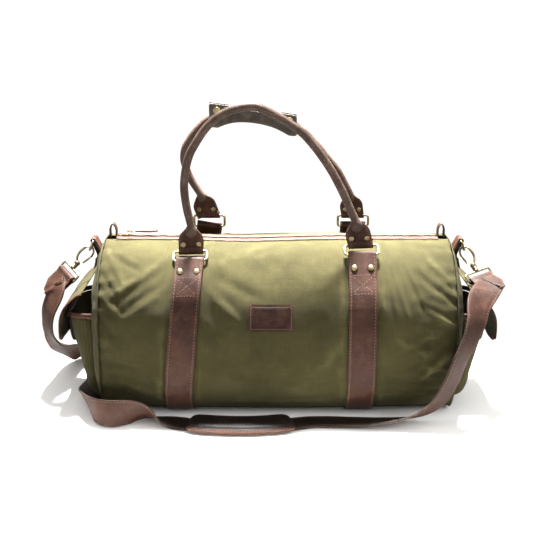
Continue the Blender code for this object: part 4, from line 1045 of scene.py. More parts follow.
def strap_frames(side):
    """A body strap's middle line and its side directions."""
    line = strap_path(side)
    slope = (FRONT_BAR["right"][1] - FRONT_BAR["left"][1]) / (STRAP_X["right"][0] - STRAP_X["left"][0])
    sides = np.array([unit((1, 0, slope * min(1.0, max(0.0, (z - 0.15) / 0.05)) if y < 0 else 0.0))
                      for _, y, z in line])
    return line, sides


def make_body_straps():
    """The two leather straps round the bag, with their rivets and stitching."""
    for side, _ in SIDES:
        line, sides = strap_frames(side)
        rows = smooth_path(np.hstack([line, sides]), 420)
        fine, fine_sides = rows[:, :3], rows[:, 3:]
        width = STRAP_WIDTH - 0.0004
        strap = sweep(f"leather_strap_{side}", fine, fine_sides, width, LEATHER, [STRAP, EDGE, STRAP],
                      ripple=0.0002)
        for vertex in strap.data.vertices:
            vertex.co.z = max(vertex.co.z, 0.0)
        place(strap, "bag", "leather", f"body_strap_{side}")
        out = normals_of(fine, fine_sides)
        middle = len(fine) // 2
        if out[middle][2] > 0:
            out = -out
        steps = steps_of(fine)
        first = np.searchsorted(steps, FOLD - 0.008)
        last = np.searchsorted(steps, steps[-1] - FOLD + 0.010)
        for a in (-GROOVE, GROOVE):
            row = fine + fine_sides * (a * width / 2) + out * LEATHER * 0.46
            stitch("bag", row[first + 12:last - 12], out[first + 12:last - 12])

        rivets = []
        for index, sense in ((FIRST_RIVETS[side], 1), (len(line) - 15, -1)):
            low = int(index)
            here = line[low] + (line[low + 1] - line[low]) * (index - low)
            run = unit(line[low + 1] - line[low - 1]) * sense
            up = unit(np.cross(run, (1, 0, 0)))
            up = up if up @ (here - np.array([here[0], 0, BELLY_Z])) > 0 else -up
            for shift in (-0.011, 0.011):
                foot = here + np.array([shift, 0, 0]) + up * (LEATHER / 2 + 0.0001)
                rivets.append(dome("rivet", foot, up, 0.0043, 0.0023, [BRASS]))
                rim = circle(foot + up * 0.0002, X_WAY, np.cross(up, X_WAY), 0.0045)
                rivets.append(tube("rivet_rim", rim, 0.0003, [EDGE], sides=8, closed=True))
            # a line across, a cross and a second line hold the folded end
            k0 = np.argmin(np.linalg.norm(fine - here, axis=1))

            def spot(distance, across):
                s = steps[k0] + sense * distance
                p = np.array([np.interp(s, steps, fine[:, c]) for c in range(3)])
                n = unit([np.interp(s, steps, out[:, c]) for c in range(3)])
                w = unit([np.interp(s, steps, fine_sides[:, c]) for c in range(3)])
                return p + w * across + n * LEATHER * 0.5, n

            box_rows = [[(0.0100, -0.013), (0.0100, 0.013)], [(0.0125, -0.0125), (0.0340, 0.0125)],
                        [(0.0125, 0.0125), (0.0340, -0.0125)], [(0.0360, -0.013), (0.0360, 0.013)]]
            for (d0, a0), (d1, a1) in box_rows:
                marks = [spot(d0 + (d1 - d0) * t, a0 + (a1 - a0) * t) for t in np.linspace(0, 1, 16)]
                stitch("bag", [m[0] for m in marks], [m[1] for m in marks], pitch=0.0040, length=0.0029)
        names = [f"rivet_{p}_{side}_{n}" for p in ("front", "rear") for n in (1, 2)]
        place(join(f"strap_rivets_{side}", *rivets), "bag", "brass", *names)


# ---- rings and handles ----
def handle_geometry(place_name, bars):
    """A pair of rings: their lower bars, the direction across and the direction up."""
    left = np.array([STRAP_X["left"][0 if place_name == "front" else 2], *bars["left"]])
    right = np.array([STRAP_X["right"][0 if place_name == "front" else 2], *bars["right"]])
    across = unit(right - left)
    lean = LEANS[place_name]
    rise = unit(np.cross(across, np.cross((0, math.cos(lean), math.sin(lean)), across)))
    return left, right, across, rise


def make_rings(place_name, left, right, across, rise):
    """The pair of rings that a handle hangs from."""
    for side, bar in (("left", left), ("right", right)):
        points = rounded_ring(bar + rise * RING_REACH / 2, across, rise, RING_HALF, RING_REACH / 2, 0.0035, 9)
        points = even_ring(points, 120)
        ring = tube(f"{place_name}_loop_ring_{side}", points, WIRE, [BRASS], sides=16, closed=True)
        place(ring, f"{place_name}_rings", "brass", f"{place_name}_ring_{side}")


def make_roll(place_name, path, ends, outward, y_handle):
    """The rolled leather handle, which flattens where it runs down over its two ends."""
    body = f"{place_name}_handle"
    tails = {}
    for side, (end, bar, top, reach) in ends.items():
        drift = (bar[0] - top[0]) / reach
        tails[side] = [end + np.array([drift * d, 0, -d]) + outward * (0.0012 * min(1, d / 0.006) + d * 0.02)
                       for d in np.linspace(0.0016, reach * 0.50, 10)]
    line = np.array([*tails["left"][::-1], *path, *tails["right"]])
    count = len(tails["left"])
    radius = np.full(len(line), HANDLE_RADIUS)
    flat = np.full(len(line), 1.0)
    for k in range(count):
        t = (k + 1) / count
        swell = 1 + 0.55 * math.sin(math.pi * min(1, t * 0.72)) - 0.75 * max(0, t - 0.75) / 0.25
        for index in (count - 1 - k, len(line) - count + k):
            radius[index] = HANDLE_RADIUS * swell
            flat[index] = max(0.28, 1 - 0.62 * t)
    # the rolled leather pinches a little now and then, and its seam lies on the inner side
    ripple = np.array([1 + 0.018 * noise.noise(Vector((k * 0.16, 3.0, y_handle * 50)))
                       for k in range(len(line))])
    run = runs_of(line)
    inward = np.cross(run, (0, 1, 0))
    inward = np.array([unit(v) for v in inward])
    if inward[len(line) // 2][2] > 0:
        inward = -inward
    turn = np.linspace(0, 2 * math.pi, 28, endpoint=False)
    points, uv = [], []
    steps = steps_of(line)
    for p, n, r, f, s in zip(line, inward, radius * ripple, flat, steps):
        row = []
        for a in turn:
            seam = 1 + 0.10 * math.exp(-((a - math.pi) / 0.20) ** 2)
            row.append(p + n * math.cos(a - math.pi) * r * seam + Y_WAY * math.sin(a - math.pi) * r * f)
        points.append(row)
        uv.append([(s, j * 0.0012) for j in range(29)])
    wear = [[0.35 * max(0.0, noise.noise(Vector((s * 25, a, 1)))) + 0.25 for a in turn] for s in steps]
    roll = grid(f"{place_name}_handle_roll", points, uv, [GRIP], closed=True, caps=True, wear=wear)
    place(roll, body, "handle_leather", f"{place_name}_handle")
    front_seam = line[count:-count] + inward[count:-count] * HANDLE_RADIUS * 0.80 \
        + outward * HANDLE_RADIUS * 0.62
    stitch(body, front_seam, inward[count:-count] * 0.8 + outward * 0.6, pitch=0.0050, length=0.0034,
           radius=0.0003)


def make_chape(place_name, side, bar, top, reach, across, outward):
    """A handle's leather end, folded round the upper bar of its ring, with rivets and stitching."""
    body = f"{place_name}_handle"
    wrap = WIRE + GAP + LEATHER / 2
    layer = (LEATHER + GAP) / 2
    toward = np.array([0, 0, 1.0])
    drift = (top[0] - bar[0]) / reach
    shape = [(reach, 0.012), (reach * 0.93, 0.0165), (reach * 0.86, 0.0205), (reach * 0.78, 0.0260),
             (reach * 0.68, 0.0306), (reach * 0.57, 0.0333), (reach * 0.45, 0.0342),
             (reach * 0.25, 0.0340), (0.0055, 0.034)]
    inner = [(bar - outward * layer + toward * d, w, d) for d, w in shape]
    turn = [(p, 0.034, 0.0) for p in fold_arc(bar, toward, outward, wrap, 9)]
    outer = [(bar + outward * layer + toward * d, w, d) for d, w in shape[::-1]]
    rows = [(*(p + np.array([drift * d, 0, 0])), w) for p, w, d in [*inner, *turn, *outer]]
    rows = smooth_path(np.array(rows), 130)
    chape = sweep(f"{place_name}_chape_{side}", rows[:, :3], across, rows[:, 3] - 0.0003, LEATHER,
                  [STRAP, EDGE, STRAP], groove=0.80)
    place(chape, body, "leather", f"{place_name}_handle_end_{side}")
    rivets = []
    face = bar + outward * (layer + LEATHER * 0.42)
    for shift in (-0.0105, 0.0105):
        foot = face + toward * reach * 0.30 + across * shift + np.array([drift * reach * 0.3, 0, 0])
        rivets.append(dome("rivet", foot, outward, 0.0038, 0.0022, [BRASS]))
        back = foot - outward * (2 * layer + LEATHER * 0.84)
        rivets.append(dome("rivet", back, -outward, 0.0034, 0.0012, [BRASS_DARK]))
    place(join(f"{place_name}_chape_rivets_{side}", *rivets), body, "brass")
    edge = [(d, w / 2 - 0.0026) for d, w in shape[1:]]
    for s in (-1, 1):
        row = np.array([face + toward * d + across * (w * s) + np.array([drift * d, 0, 0])
                        + outward * 0.0002 for d, w in edge])
        stitch(body, smooth_path(row, 30), outward, **FINE)
    low = [face + toward * reach * 0.13 + across * a + outward * 0.0002
           for a in np.linspace(-0.014, 0.014, 12)]
    stitch(body, low, outward, **FINE)


def make_handle(place_name, bars, arch, chape_x):
    """A pair of rings, the rolled handle above them and its two folded ends."""
    left, right, across, rise = handle_geometry(place_name, bars)
    upper = {"left": left + rise * RING_REACH, "right": right + rise * RING_REACH}
    outward = np.array([0, -1.0 if place_name == "front" else 1.0, 0])
    make_rings(place_name, left, right, across, rise)

    y_handle = (upper["left"][1] + upper["right"][1]) / 2
    path = smooth_path([(x, y_handle, z) for x, z in arch], 150)
    ends = {}
    for side, _ in SIDES:
        end = path[0] if side == "left" else path[-1]
        bar = upper[side].copy()
        bar[0] = chape_x[side]
        bar[2] += across[2] / across[0] * (chape_x[side] - upper[side][0])
        top = end - np.array([0, 0, HANDLE_RADIUS * 0.35])
        ends[side] = (end, bar, top, top[2] - bar[2] - 0.001)
    make_roll(place_name, path, ends, outward, y_handle)
    for side, (_, bar, top, reach) in ends.items():
        make_chape(place_name, side, bar, top, reach, across, outward)
    return path


WRAP_THICK = 0.0018
WRAP_SHEET = (("SOLIDIFY", {"thickness": WRAP_THICK, "offset": 0.0}),
              ("BEVEL", {"width": 0.0004, "segments": 2, "limit_method": "ANGLE"}))


def make_wrap(path):
    """The grip: a leather sheet hung over the rear handle, closed by a flap with two snaps."""
    start, end = -0.098, 0.029
    thick = WRAP_THICK
    reach = HANDLE_RADIUS + GAP + 0.0006 + thick / 2
    stations = np.linspace(start, end, 60)
    height = np.interp(stations, path[10:-10, 0], path[10:-10, 2])
    slope = np.gradient(height, stations)
    y = path[0, 1]
    rim = np.interp(stations, [start, end], [0.4105, 0.3925])
    points, uv = [], []
    for x, z, top, drop in zip(stations, height, np.maximum(rim, height + 0.002), np.hypot(1, slope)):
        wave = 0.0003 * math.sin(x * 120)
        low = (x + 0.034) / 0.0635
        arc = [(x, y + reach * math.cos(a),
                z - (reach + 0.0006 * (1 - low * low)) * drop * math.sin(a) + wave)
               for a in np.linspace(0, math.pi, 16)]
        rise = [(x, y + reach, z + 0.001 + (max(top, z + 0.004) - z - 0.001) * t)
                for t in np.linspace(1, 0.05, 6)]
        points.append([*rise, *arc])
        uv.append([(x, k * 0.002) for k in range(len(rise) + len(arc))])
    sheet = grid("grip_wrap_leather", points, uv, [WRAP], solid=False)
    add_modifiers(sheet, *WRAP_SHEET)
    place(sheet, "rear_handle", "leather", "grip_wrap")

    front = y - reach - thick - GAP - 0.0004
    # the lower edge follows the underside of the handle, and meets the hinge line at both ends
    hinge_z = np.maximum(np.interp(stations, [start, end], [0.3760, 0.3620]), height - reach - 0.013)
    points, uv, wear = [], [], []
    for x, low, top in zip(stations, hinge_z, rim):
        t = (x - (start + end) / 2) / ((end - start) / 2)
        cut = 0.0022 * max(0.0, (abs(t) - 0.93) / 0.07) ** 2
        points.append([(x, front + 0.0004 * math.sin(u * 3 + x * 40), low + cut + (top - low - 2 * cut) * u)
                       for u in np.linspace(0, 1, 14)])
        uv.append([(x, u * 0.04) for u in np.linspace(0, 1, 14)])
        wear.append([1.0 if u in (0.0, 1.0) or abs(t) > 0.97 else 0.0 for u in np.linspace(0, 1, 14)])
    flap = grid("grip_flap_leather", points, uv, [WRAP], wear=wear, solid=False)
    add_modifiers(flap, *WRAP_SHEET)
    place(flap, "wrap_flap", "leather", "grip_wrap_flap")
    out = np.array([0, -1.0, 0])
    face = front - thick / 2 - 0.0002
    snaps = []
    for x in (start + 0.011, end - 0.011):
        z = np.interp(x, stations, rim) - 0.0085
        snaps.append(dome("snap", np.array([x, face, z]), out, 0.0050, 0.0016, [BRASS]))
        rim_line = circle(np.array([x, face - 0.0001, z]), X_WAY, Z_WAY, 0.0052)
        snaps.append(tube("snap_rim", rim_line, 0.0004, [BRASS_DARK], sides=8, closed=True))
    place(join("grip_snaps", *snaps), "wrap_flap", "brass")
    inset = 0.0032
    top_row = [(x, face, z - inset) for x, z in zip(stations[3:-3], rim[3:-3])]
    low_row = [(x, face, z + inset) for x, z in zip(stations[3:-3], hinge_z[3:-3])]
    for row in (top_row, low_row, [low_row[0], top_row[0]], [low_row[-1], top_row[-1]]):
        stitch("wrap_flap", row, out)


# ---- zip ----
def along_zip(points):
    """Points lowered by the sag of the bag's top."""
    points = np.asarray(points, float)
    points[:, 2] -= [sag(x, y) for x, y, _ in points]
    return points


def make_zip_facings(xs):
    """The leather facing along each side of the zip, with its stitching."""
    for side, sign in (("front", -1), ("rear", 1)):
        middle = along_zip([(x, sign * 0.0105, TOP_Z + 0.0011 + 0.0002 * math.sin(x * 300)) for x in xs])
        facing = sweep(f"zip_binding_{side}", middle, (0, -1, 0), 0.0130, 0.0014, [FACING, EDGE, FACING],
                       groove=0.62)
        place(facing, "bag", "leather", f"zip_facing_{side}")
        for shift in (-0.0042, 0.0042):
            stitch("bag", middle + np.array([0, shift, 0.00062]), (0, 0, 1), **FINE,
                   radius=0.0003)
        stitch("bag", middle + np.array([0, sign * 0.0095, -0.0004]), (0, sign * 0.25, 1), pitch=0.0046,
               length=0.0032, mat=OLIVE_THREAD)


def make_zip_chain(half, xs):
    """The zip's teeth, and the tape between them."""
    tape = sweep("zip_tape_middle", along_zip([(x, 0, TOP_Z - 0.0022) for x in xs]), (0, -1, 0), 0.0074,
                 0.0009,
                 [TAPE])
    pitch = 0.0027
    count = int(2 * (half - 0.004) / pitch)
    verts, faces = [], []
    for k in range(count):
        x = -half + 0.004 + k * pitch
        sign = 1 if k % 2 else -1
        z0 = TOP_Z - 0.0008 - sag(x, 0)
        for dx, width in ((-0.00085, 0.7), (-0.0005, 1.0), (0.0005, 1.0), (0.00085, 0.7)):
            for y, z in ((-0.0006, -0.0011), (0.0025, -0.0011), (0.0028, 0.0), (0.0025, 0.0011),
                         (-0.0006, 0.0013),
                         (-0.0010, 0.0)):
                verts.append((x + dx, sign * (0.0004 + (y - 0.0004) * width), z0 + z * width))
        faces += rod_faces(k * 24, sign > 0)
    teeth = mesh_object("zip_teeth", verts, faces, [BRASS_DARK], closed=False)
    place(join("zip_chain_teeth", teeth, tape), "bag", "zip", "zip_chain")


def make_slider(x0):
    """The zip's slider at x0."""
    # slider: a body with a nose, and a bail over it
    z0 = TOP_Z + 0.0041
    line = [(x0 + dx, 0, z0 - 0.0002) for dx in np.linspace(-0.0064, 0.0064, 15)]
    widths = [0.0052 + 0.0030 * math.sin(math.pi * min(1, 0.18 + 0.62 * t)) for t in np.linspace(0, 1, 15)]
    body = sweep("slider_body", line, (0, -1, 0), widths, 0.0034, [BRASS], groove=0.5)
    arch = [(0.0, -0.0026), (0.0, 0.0012), (0.0015, 0.0030), (0.0045, 0.0030), (0.0055, 0.0012),
            (0.0055, -0.0026)]
    bail = tube("slider_bail", [(x0 + 0.0005 + x, 0, TOP_Z + 0.0068 + z) for x, z in smooth_path(arch, 40)],
                0.0008,
                [BRASS], across=(0, 1, 0), flat=0.7, sides=12)
    place(join("zip_slider_body", body, bail), "slider", "brass", "zip_slider")


def make_puller(x0):
    """The slider's link and its leather tag."""
    hinge = np.array([x0 + 0.0035, 0, TOP_Z + 0.0098])
    loop = [hinge + np.array(p) for p in ((-0.0016, 0.0, -0.0014), (-0.0012, 0.0028, -0.0010),
                                          (0.004, 0.0034, 0.0),
                                          (0.0095, 0.0030, 0.0), (0.0105, 0.0, 0.0), (0.0095, -0.0030, 0.0),
                                          (0.004, -0.0034, 0.0), (-0.0012, -0.0028, -0.0010))]
    loop = smooth_path([*loop, loop[0]], 60)[:-1]
    link = tube("puller_link", loop, 0.0007, [BRASS], sides=10, closed=True)
    run = np.linspace(0, 1, 50)
    tag_line = [hinge + np.array([0.0078 + 0.0316 * t, 0, -0.0004 - 0.0006 * math.sin(t * 3)]) for t in run]
    tag_width = [0.0088 * (1 - 0.45 * (1 - min(1, t / 0.06)) ** 2)
                 * (1 - 0.35 * max(0, (t - 0.88) / 0.12) ** 2) for t in run]
    tag = sweep("puller_tag", tag_line, (0, -1, 0), tag_width, 0.0022, [FACING, EDGE, FACING], groove=0.70)
    stitch_edges("puller", tag_line[4:-4], (0, -1, 0), tag_width[4:-4], 0.0022, groove=0.70)
    place(join("zip_puller_tag", link, tag), "puller", "leather", "zip_puller")


def make_zip():
    """The zip's facings, teeth, slider and puller."""
    half = 0.226
    xs = np.linspace(-half, half, 160)
    make_zip_facings(xs)
    make_zip_chain(half, xs)
    make_slider(-ZIP_TRAVEL_X)
    make_puller(-ZIP_TRAVEL_X)


def make_zip_tabs():
    """The leather tab over each end of the zip."""
    for side, sign in SIDES:
        arch = [(-0.0040, 0.0), (-0.0044, 0.010), (-0.0026, 0.0165), (0.0, 0.0185), (0.0026, 0.0165),
                (0.0044, 0.010), (0.0040, 0.0)]
        path = [(sign * 0.2315 + x, 0, TOP_Z + 0.0008 + z) for x, z in smooth_path(arch, 60)]
        tab = sweep(f"zip_end_tab_{side}", path, (0, 1, 0), 0.0118, 0.0016, [STRAP, EDGE, STRAP], groove=0.72)
        place(tab, "bag", "leather", f"zip_tab_{side}")
        stitch_edges("bag", path, (0, 1, 0), 0.0118, 0.0016, groove=0.72, both=True)


def make_patch():
    """The blank patch on the front, with a thin raised frame."""
    xs = np.array([-0.0385, 0.0205])
    middle_x = xs.mean()
    line = skin_line(middle_x, 0, math.pi / 2 * 1.02, 500, GAP)
    order = np.argsort(line[:, 1])
    z_values = np.linspace(0.164, 0.130, 60)
    rows = [(middle_x, float(np.interp(z, line[order, 1], line[order, 0])) - 0.0007, z) for z in z_values]
    r = 0.003
    widths = []
    for z in z_values:
        edge = min(abs(z - 0.164), abs(z - 0.130))
        widths.append(0.059 - (2 * (r - math.sqrt(max(0.0, r * r - (r - edge) ** 2))) if edge < r else 0))
    patch = sweep("front_patch_leather", rows, (1, 0, 0), widths, 0.0014, [STRAP, EDGE, STRAP], groove=0.905)
    place(patch, "bag", "leather", "front_patch")
    face = np.array(rows) + np.array([0, -0.00075, 0])
    for a in (-0.0268, 0.0268):
        stitch("bag", face[5:-5] + np.array([a, 0, 0]), (0, -1, 0), **TIGHT)
    for k in (5, -6):
        row = [face[k] + np.array([a, 0, 0]) for a in np.linspace(-0.0268, 0.0268, 30)]
        stitch("bag", row, (0, -1, 0), **TIGHT)
    frame_line = []
    for x, z in rounded_points(middle_x, 0.147, 0.0225, 0.0120, 0.002, 8):
        frame_line.append((x, float(np.interp(z, line[order, 1], line[order, 0])) - 0.00145, z))
    ridge = tube("patch_frame", frame_line, 0.0004, [EDGE], sides=6, closed=True)
    place(ridge, "bag", "leather")


def rounded_points(cx, cz, half_w, half_h, corner, steps):
    """Points round a rectangle with round corners, as (x, z) pairs."""
    points = rounded_ring(np.array([cx, 0, cz]), np.array([1.0, 0, 0]), np.array([0, 0, 1.0]), half_w, half_h,
                          corner, steps)
    return [(p[0], p[2]) for p in even_ring(points, 99)]


# ---- ends: pockets, flaps, D-rings, hooks ----
def make_pocket(side, sign):
    """An end pocket with its leather rim."""
    heights = [(0.0180, 0.0), (0.0182, 0.30), (0.0188, 0.52), (0.0200, 0.72), (0.0220, 0.85), (0.0270, 0.95),
               *[(z, 1.0) for z in np.linspace(0.034, 0.131, 14)]]
    rows = np.array(pocket_rows(sign, heights), float)
    for i, row in enumerate(rows):
        for j, p in enumerate(row):
            inside = math.sin(math.pi * j / (len(row) - 1)) ** 0.5
            d = 0.0022 * noise.noise(Vector((p[1] * 28, p[2] * 28, sign * 9.0)))
            d -= 0.0016 * math.exp(-((p[2] - 0.062 - p[1] * 0.25) / 0.007) ** 2)
            d += 0.0014 * math.exp(-((p[2] - 0.088 + p[1] * 0.2) / 0.008) ** 2)
            rows[i, j, 0] += sign * max(d, -0.0015) * inside * min(1.0, (p[2] - 0.018) / 0.02)
    uv = [[(p[1], p[2]) for p in row] for row in rows]
    pocket = grid(f"pocket_canvas_{side}", rows, uv, [CANVAS_CLOTH], flip=sign > 0, solid=False)
    add_modifiers(pocket, ("SUBSURF", {"levels": 1, "render_levels": 1}),
                  ("SOLIDIFY", {"thickness": 0.0014, "offset": 1.0}))
    place(pocket, "bag", "canvas", f"end_pocket_{side}")

    rim = np.array(pocket_rows(sign, [(0.1346, 1.0)], 0.0008)[0], float)
    rim = smooth_path(rim, 110)
    binding = sweep(f"pocket_rim_{side}", rim, (0, 0, 1), 0.0066, 0.0030, [BINDING, EDGE, BINDING],
                    groove=0.55)
    place(binding, "bag", "leather", f"pocket_binding_{side}")
    out = normals_of(rim, (0, 0, 1))
    if out[55][0] * sign < 0:
        out = -out
    stitch("bag", rim + out * 0.0016 - np.array([0, 0, 0.0012]), out, **FINE, radius=0.0003)
    return out


FLAP_ARCH = [(0.2680, 0.1660), (0.2750, 0.1632), (0.2840, 0.1555), (0.2930, 0.1450), (0.2988, 0.1310),
             (0.3003, 0.1150), (0.3000, 0.0980)]
TONGUE = [(0.2973, 0.124), (0.2978, 0.112), (0.2972, 0.098), (0.2950, 0.084), (0.2930, 0.076)]


def make_flap(side, sign):
    """A pocket flap with its binding, tongue and stud."""
    body = f"flap_{side}"
    arch = smooth_path(FLAP_ARCH, 44)
    points, uv = [], []
    half = POCKET_HALF + 0.0005
    for k, (x, z) in enumerate(arch):
        row = []
        for y in np.linspace(-half, half, 45):
            corner = max(0.0, (k / 43 - 0.80) / 0.20) * max(0.0, (abs(y) / half - 0.80) / 0.20)
            low = k / 43
            wave = 0.0012 * math.sin(y * 62 + sign) * low
            wave += 0.0014 * noise.noise(Vector((y * 22, z * 22, sign * 4)))
            row.append((sign * (x + min(wave, 0.0008) * min(1, low * 3)), y * (1 - 0.012 * corner),
                        z + 0.006 * corner))
        points.append(row)
        uv.append([(p[1], k * 0.002) for p in row])
    flap = grid(f"flap_canvas_{side}", points, uv, [CANVAS_CLOTH], flip=sign < 0, solid=False)
    add_modifiers(flap, ("SOLIDIFY", {"thickness": 0.0018, "offset": 0.0}))
    place(flap, body, "canvas", f"pocket_flap_{side}")
    points = np.array(points)
    border = np.vstack([points[:, 0], points[-1, 1:], points[::-1, -1][1:]])
    border = smooth_path(border, 260)
    toward = np.zeros_like(border)
    for k, p in enumerate(border):
        j = np.argmin(np.abs(arch[:, 1] - p[2]) + np.abs(arch[:, 0] - abs(p[0])))
        tangent = np.array([*(arch[min(j + 1, 43)] - arch[max(j - 1, 0)]), 0.0])
        down = unit([sign * tangent[0], 0, tangent[1]])
        toward[k] = down if abs(p[1]) < half * 0.96 else np.array([0, 1.0, 0])
    rim = tube(f"flap_binding_{side}", border, 0.0027, [BINDING], across=toward, flat=0.52, sides=14)
    place(rim, body, "leather")

    path = np.array([(sign * x, 0, z) for x, z in smooth_path(TONGUE, 60)])
    drop = np.linspace(0, 1, 60)
    widths = 0.026 * np.sqrt(np.clip(1 - np.clip((drop - 0.72) / 0.29, 0, 1) ** 2, 0.02, 1))
    tongue = sweep(f"flap_tongue_leather_{side}", path + np.array([sign * 0.0004, 0, 0]), (0, sign, 0),
                   widths,
                   0.0020, [STRAP, EDGE, STRAP], groove=0.78)
    place(tongue, body, "leather", f"flap_tongue_{side}")
    for s in (-1, 1):
        row = path + np.array([sign * 0.0014, 0, 0]) + np.array([0, 1.0, 0]) * (widths * 0.39 * s)[:, None]
        stitch(body, row[2:-5], (sign, 0, 0.1), **FINE)
    snap = dome("flap_stud", np.array([sign * 0.2972, 0, 0.096]) + np.array([sign * 0.0012, 0, 0]),
                (sign, 0, -0.18), 0.0055, 0.0018, [BRASS])
    place(snap, body, "brass")


def make_d_ring(side, sign):
    """A D-ring and its leather tab. Returns where the hook hangs."""
    bar = np.array([sign * 0.2590, 0.0, 0.2255])
    thin = 0.0016
    wrap = 0.0016 + GAP + 0.0006 + thin / 2
    tail = [np.array([sign * (dome_x(0, z) + 0.0040), 0, z]) for z in (0.186, 0.196, 0.206)]
    toward = unit(tail[-1] - bar)
    outward = unit(np.cross(toward, (0, 1, 0)))
    outward = outward if outward[0] * sign > 0 else -outward
    turn = fold_arc(bar, toward, outward, wrap)
    inside = [np.array([sign * (dome_x(0, z) + 0.0016), 0, z]) for z in (0.207, 0.213)]
    rows = smooth_path(np.array([*inside, *turn, *tail[::-1]]), 90)
    tab = sweep(f"d_ring_loop_{side}", rows, (0, 1, 0), 0.0217, thin, [STRAP, EDGE, STRAP], groove=0.76)
    place(tab, "bag", "leather", f"d_ring_tab_{side}")
    out = normals_of(rows, (0, 1, 0))
    out = out if out[-10][0] * sign > 0 else -out
    for y in (-0.0082, 0.0082):
        stitch("bag", (rows + out * thin * 0.46 + np.array([0, y, 0]))[50:88], out[50:88], **TIGHT)
    for k in (88, 66):
        line = [rows[k] + out[k] * thin * 0.46 + np.array([0, y, 0])
                for y in np.linspace(-0.0082, 0.0082, 12)]
        stitch("bag", line, out[k], **TIGHT)
    rivet = dome(f"d_ring_rivet_{side}", rows[77] + out[77] * thin * 0.45, out[77], 0.0034, 0.0019, [BRASS])
    place(rivet, "bag", "brass")

    down = unit([sign * 0.42, 0, -0.907])
    half = 0.0138
    points = [bar + np.array([0, y, 0]) for y in (half - 0.002, 0, -half + 0.002)]
    for a in np.linspace(0, math.pi, 15):
        points.append(bar + np.array([0, -half * math.cos(a), 0]) + down * (0.0030 + 0.0135 * math.sin(a)))
    loop = smooth_path(np.array([*points, points[0]]), 140)[:-1]
    ring = tube(f"d_ring_metal_{side}", loop, 0.0016, [BRASS], sides=16, closed=True)
    place(ring, f"d_ring_{side}", "brass", f"d_ring_{side}")
    return bar + down * 0.0165


def make_hook(side, sign, apex):
    """A snap hook, its gate and the strap's eye. Returns the eye's bar and its direction."""
    base, axis, width = hook_frame(side, apex)
    width = width if width[0] * sign < 0 else -width
    normal = np.cross(width, axis)

    def at(w, v):
        return base + width * w + axis * v

    body = [(0, 0.0005), (-0.0050, 0.0045), (-0.0078, 0.0110), (-0.0080, 0.0190), (-0.0060, 0.0262),
            (0.0, 0.0300), (0.0058, 0.0268), (0.0078, 0.0215), (0.0078, 0.0185)]
    line = np.array([at(w, v) for w, v in smooth_path(body, 90)])
    t = np.linspace(0, 1, 90)
    radius = 0.00145 + 0.00055 * np.sin(np.pi * np.clip(t * 1.15, 0, 1)) ** 2 * (t < 0.55)
    wire = tube("hook_wire", line, radius, [BRASS_DARK], across=normal, flat=0.95, sides=16)
    barrel = lathe("hook_barrel", base, axis, [(-0.0060, 0.0021), (-0.0060, 0.0034), (-0.0055, 0.0040),
                                              (-0.0046, 0.0040), (-0.0042, 0.0035), (-0.0036, 0.0035),
                                              (-0.0032, 0.0040), (0.0008, 0.0040), (0.0016, 0.0036),
                                              (0.0026, 0.0024),
                                              (0.0030, 0.0004)], [BRASS_DARK], 26)
    place(join(f"hook_metal_{side}", wire, barrel), f"hook_{side}", "brass", f"snap_hook_{side}")
    rod = tube("gate_rod", [at(0.0056 + 0.00215 * s, 0.0050 + 0.0130 * s) for s in np.linspace(0, 1, 12)],
               0.0013, [BRASS], sides=14)
    knob = dome("gate_knob", at(0.0070, 0.0128), width, 0.0013, 0.0016, [BRASS])
    place(join(f"gate_metal_{side}", rod, knob), f"gate_{side}", "brass", f"hook_gate_{side}")

    wide = unit(EYE_WIDE[side])
    wide = unit(wide - axis * (wide @ axis))
    points = rounded_ring(at(0, -0.0165), wide, axis, 0.0214, 0.0055, 0.0030, 9)
    points = even_ring(points, 120)
    eye = tube("eye_ring", points, 0.0015, [BRASS_DARK], sides=14, closed=True)
    boss = lathe("eye_boss", base, axis, [(-0.0118, 0.0020), (-0.0113, 0.0033), (-0.0100, 0.0036),
                                          (-0.0066, 0.0036),
                                          (-0.0063, 0.0030)], [BRASS_DARK], 22)
    pin = lathe("eye_pin", base, axis, [(-0.0090, 0.0015), (-0.0030, 0.0015)], [BRASS_DARK], 12)
    place(join(f"eye_metal_{side}", eye, boss, pin), "bag", "brass", f"strap_eye_{side}")
    return at(0, -0.0220), wide


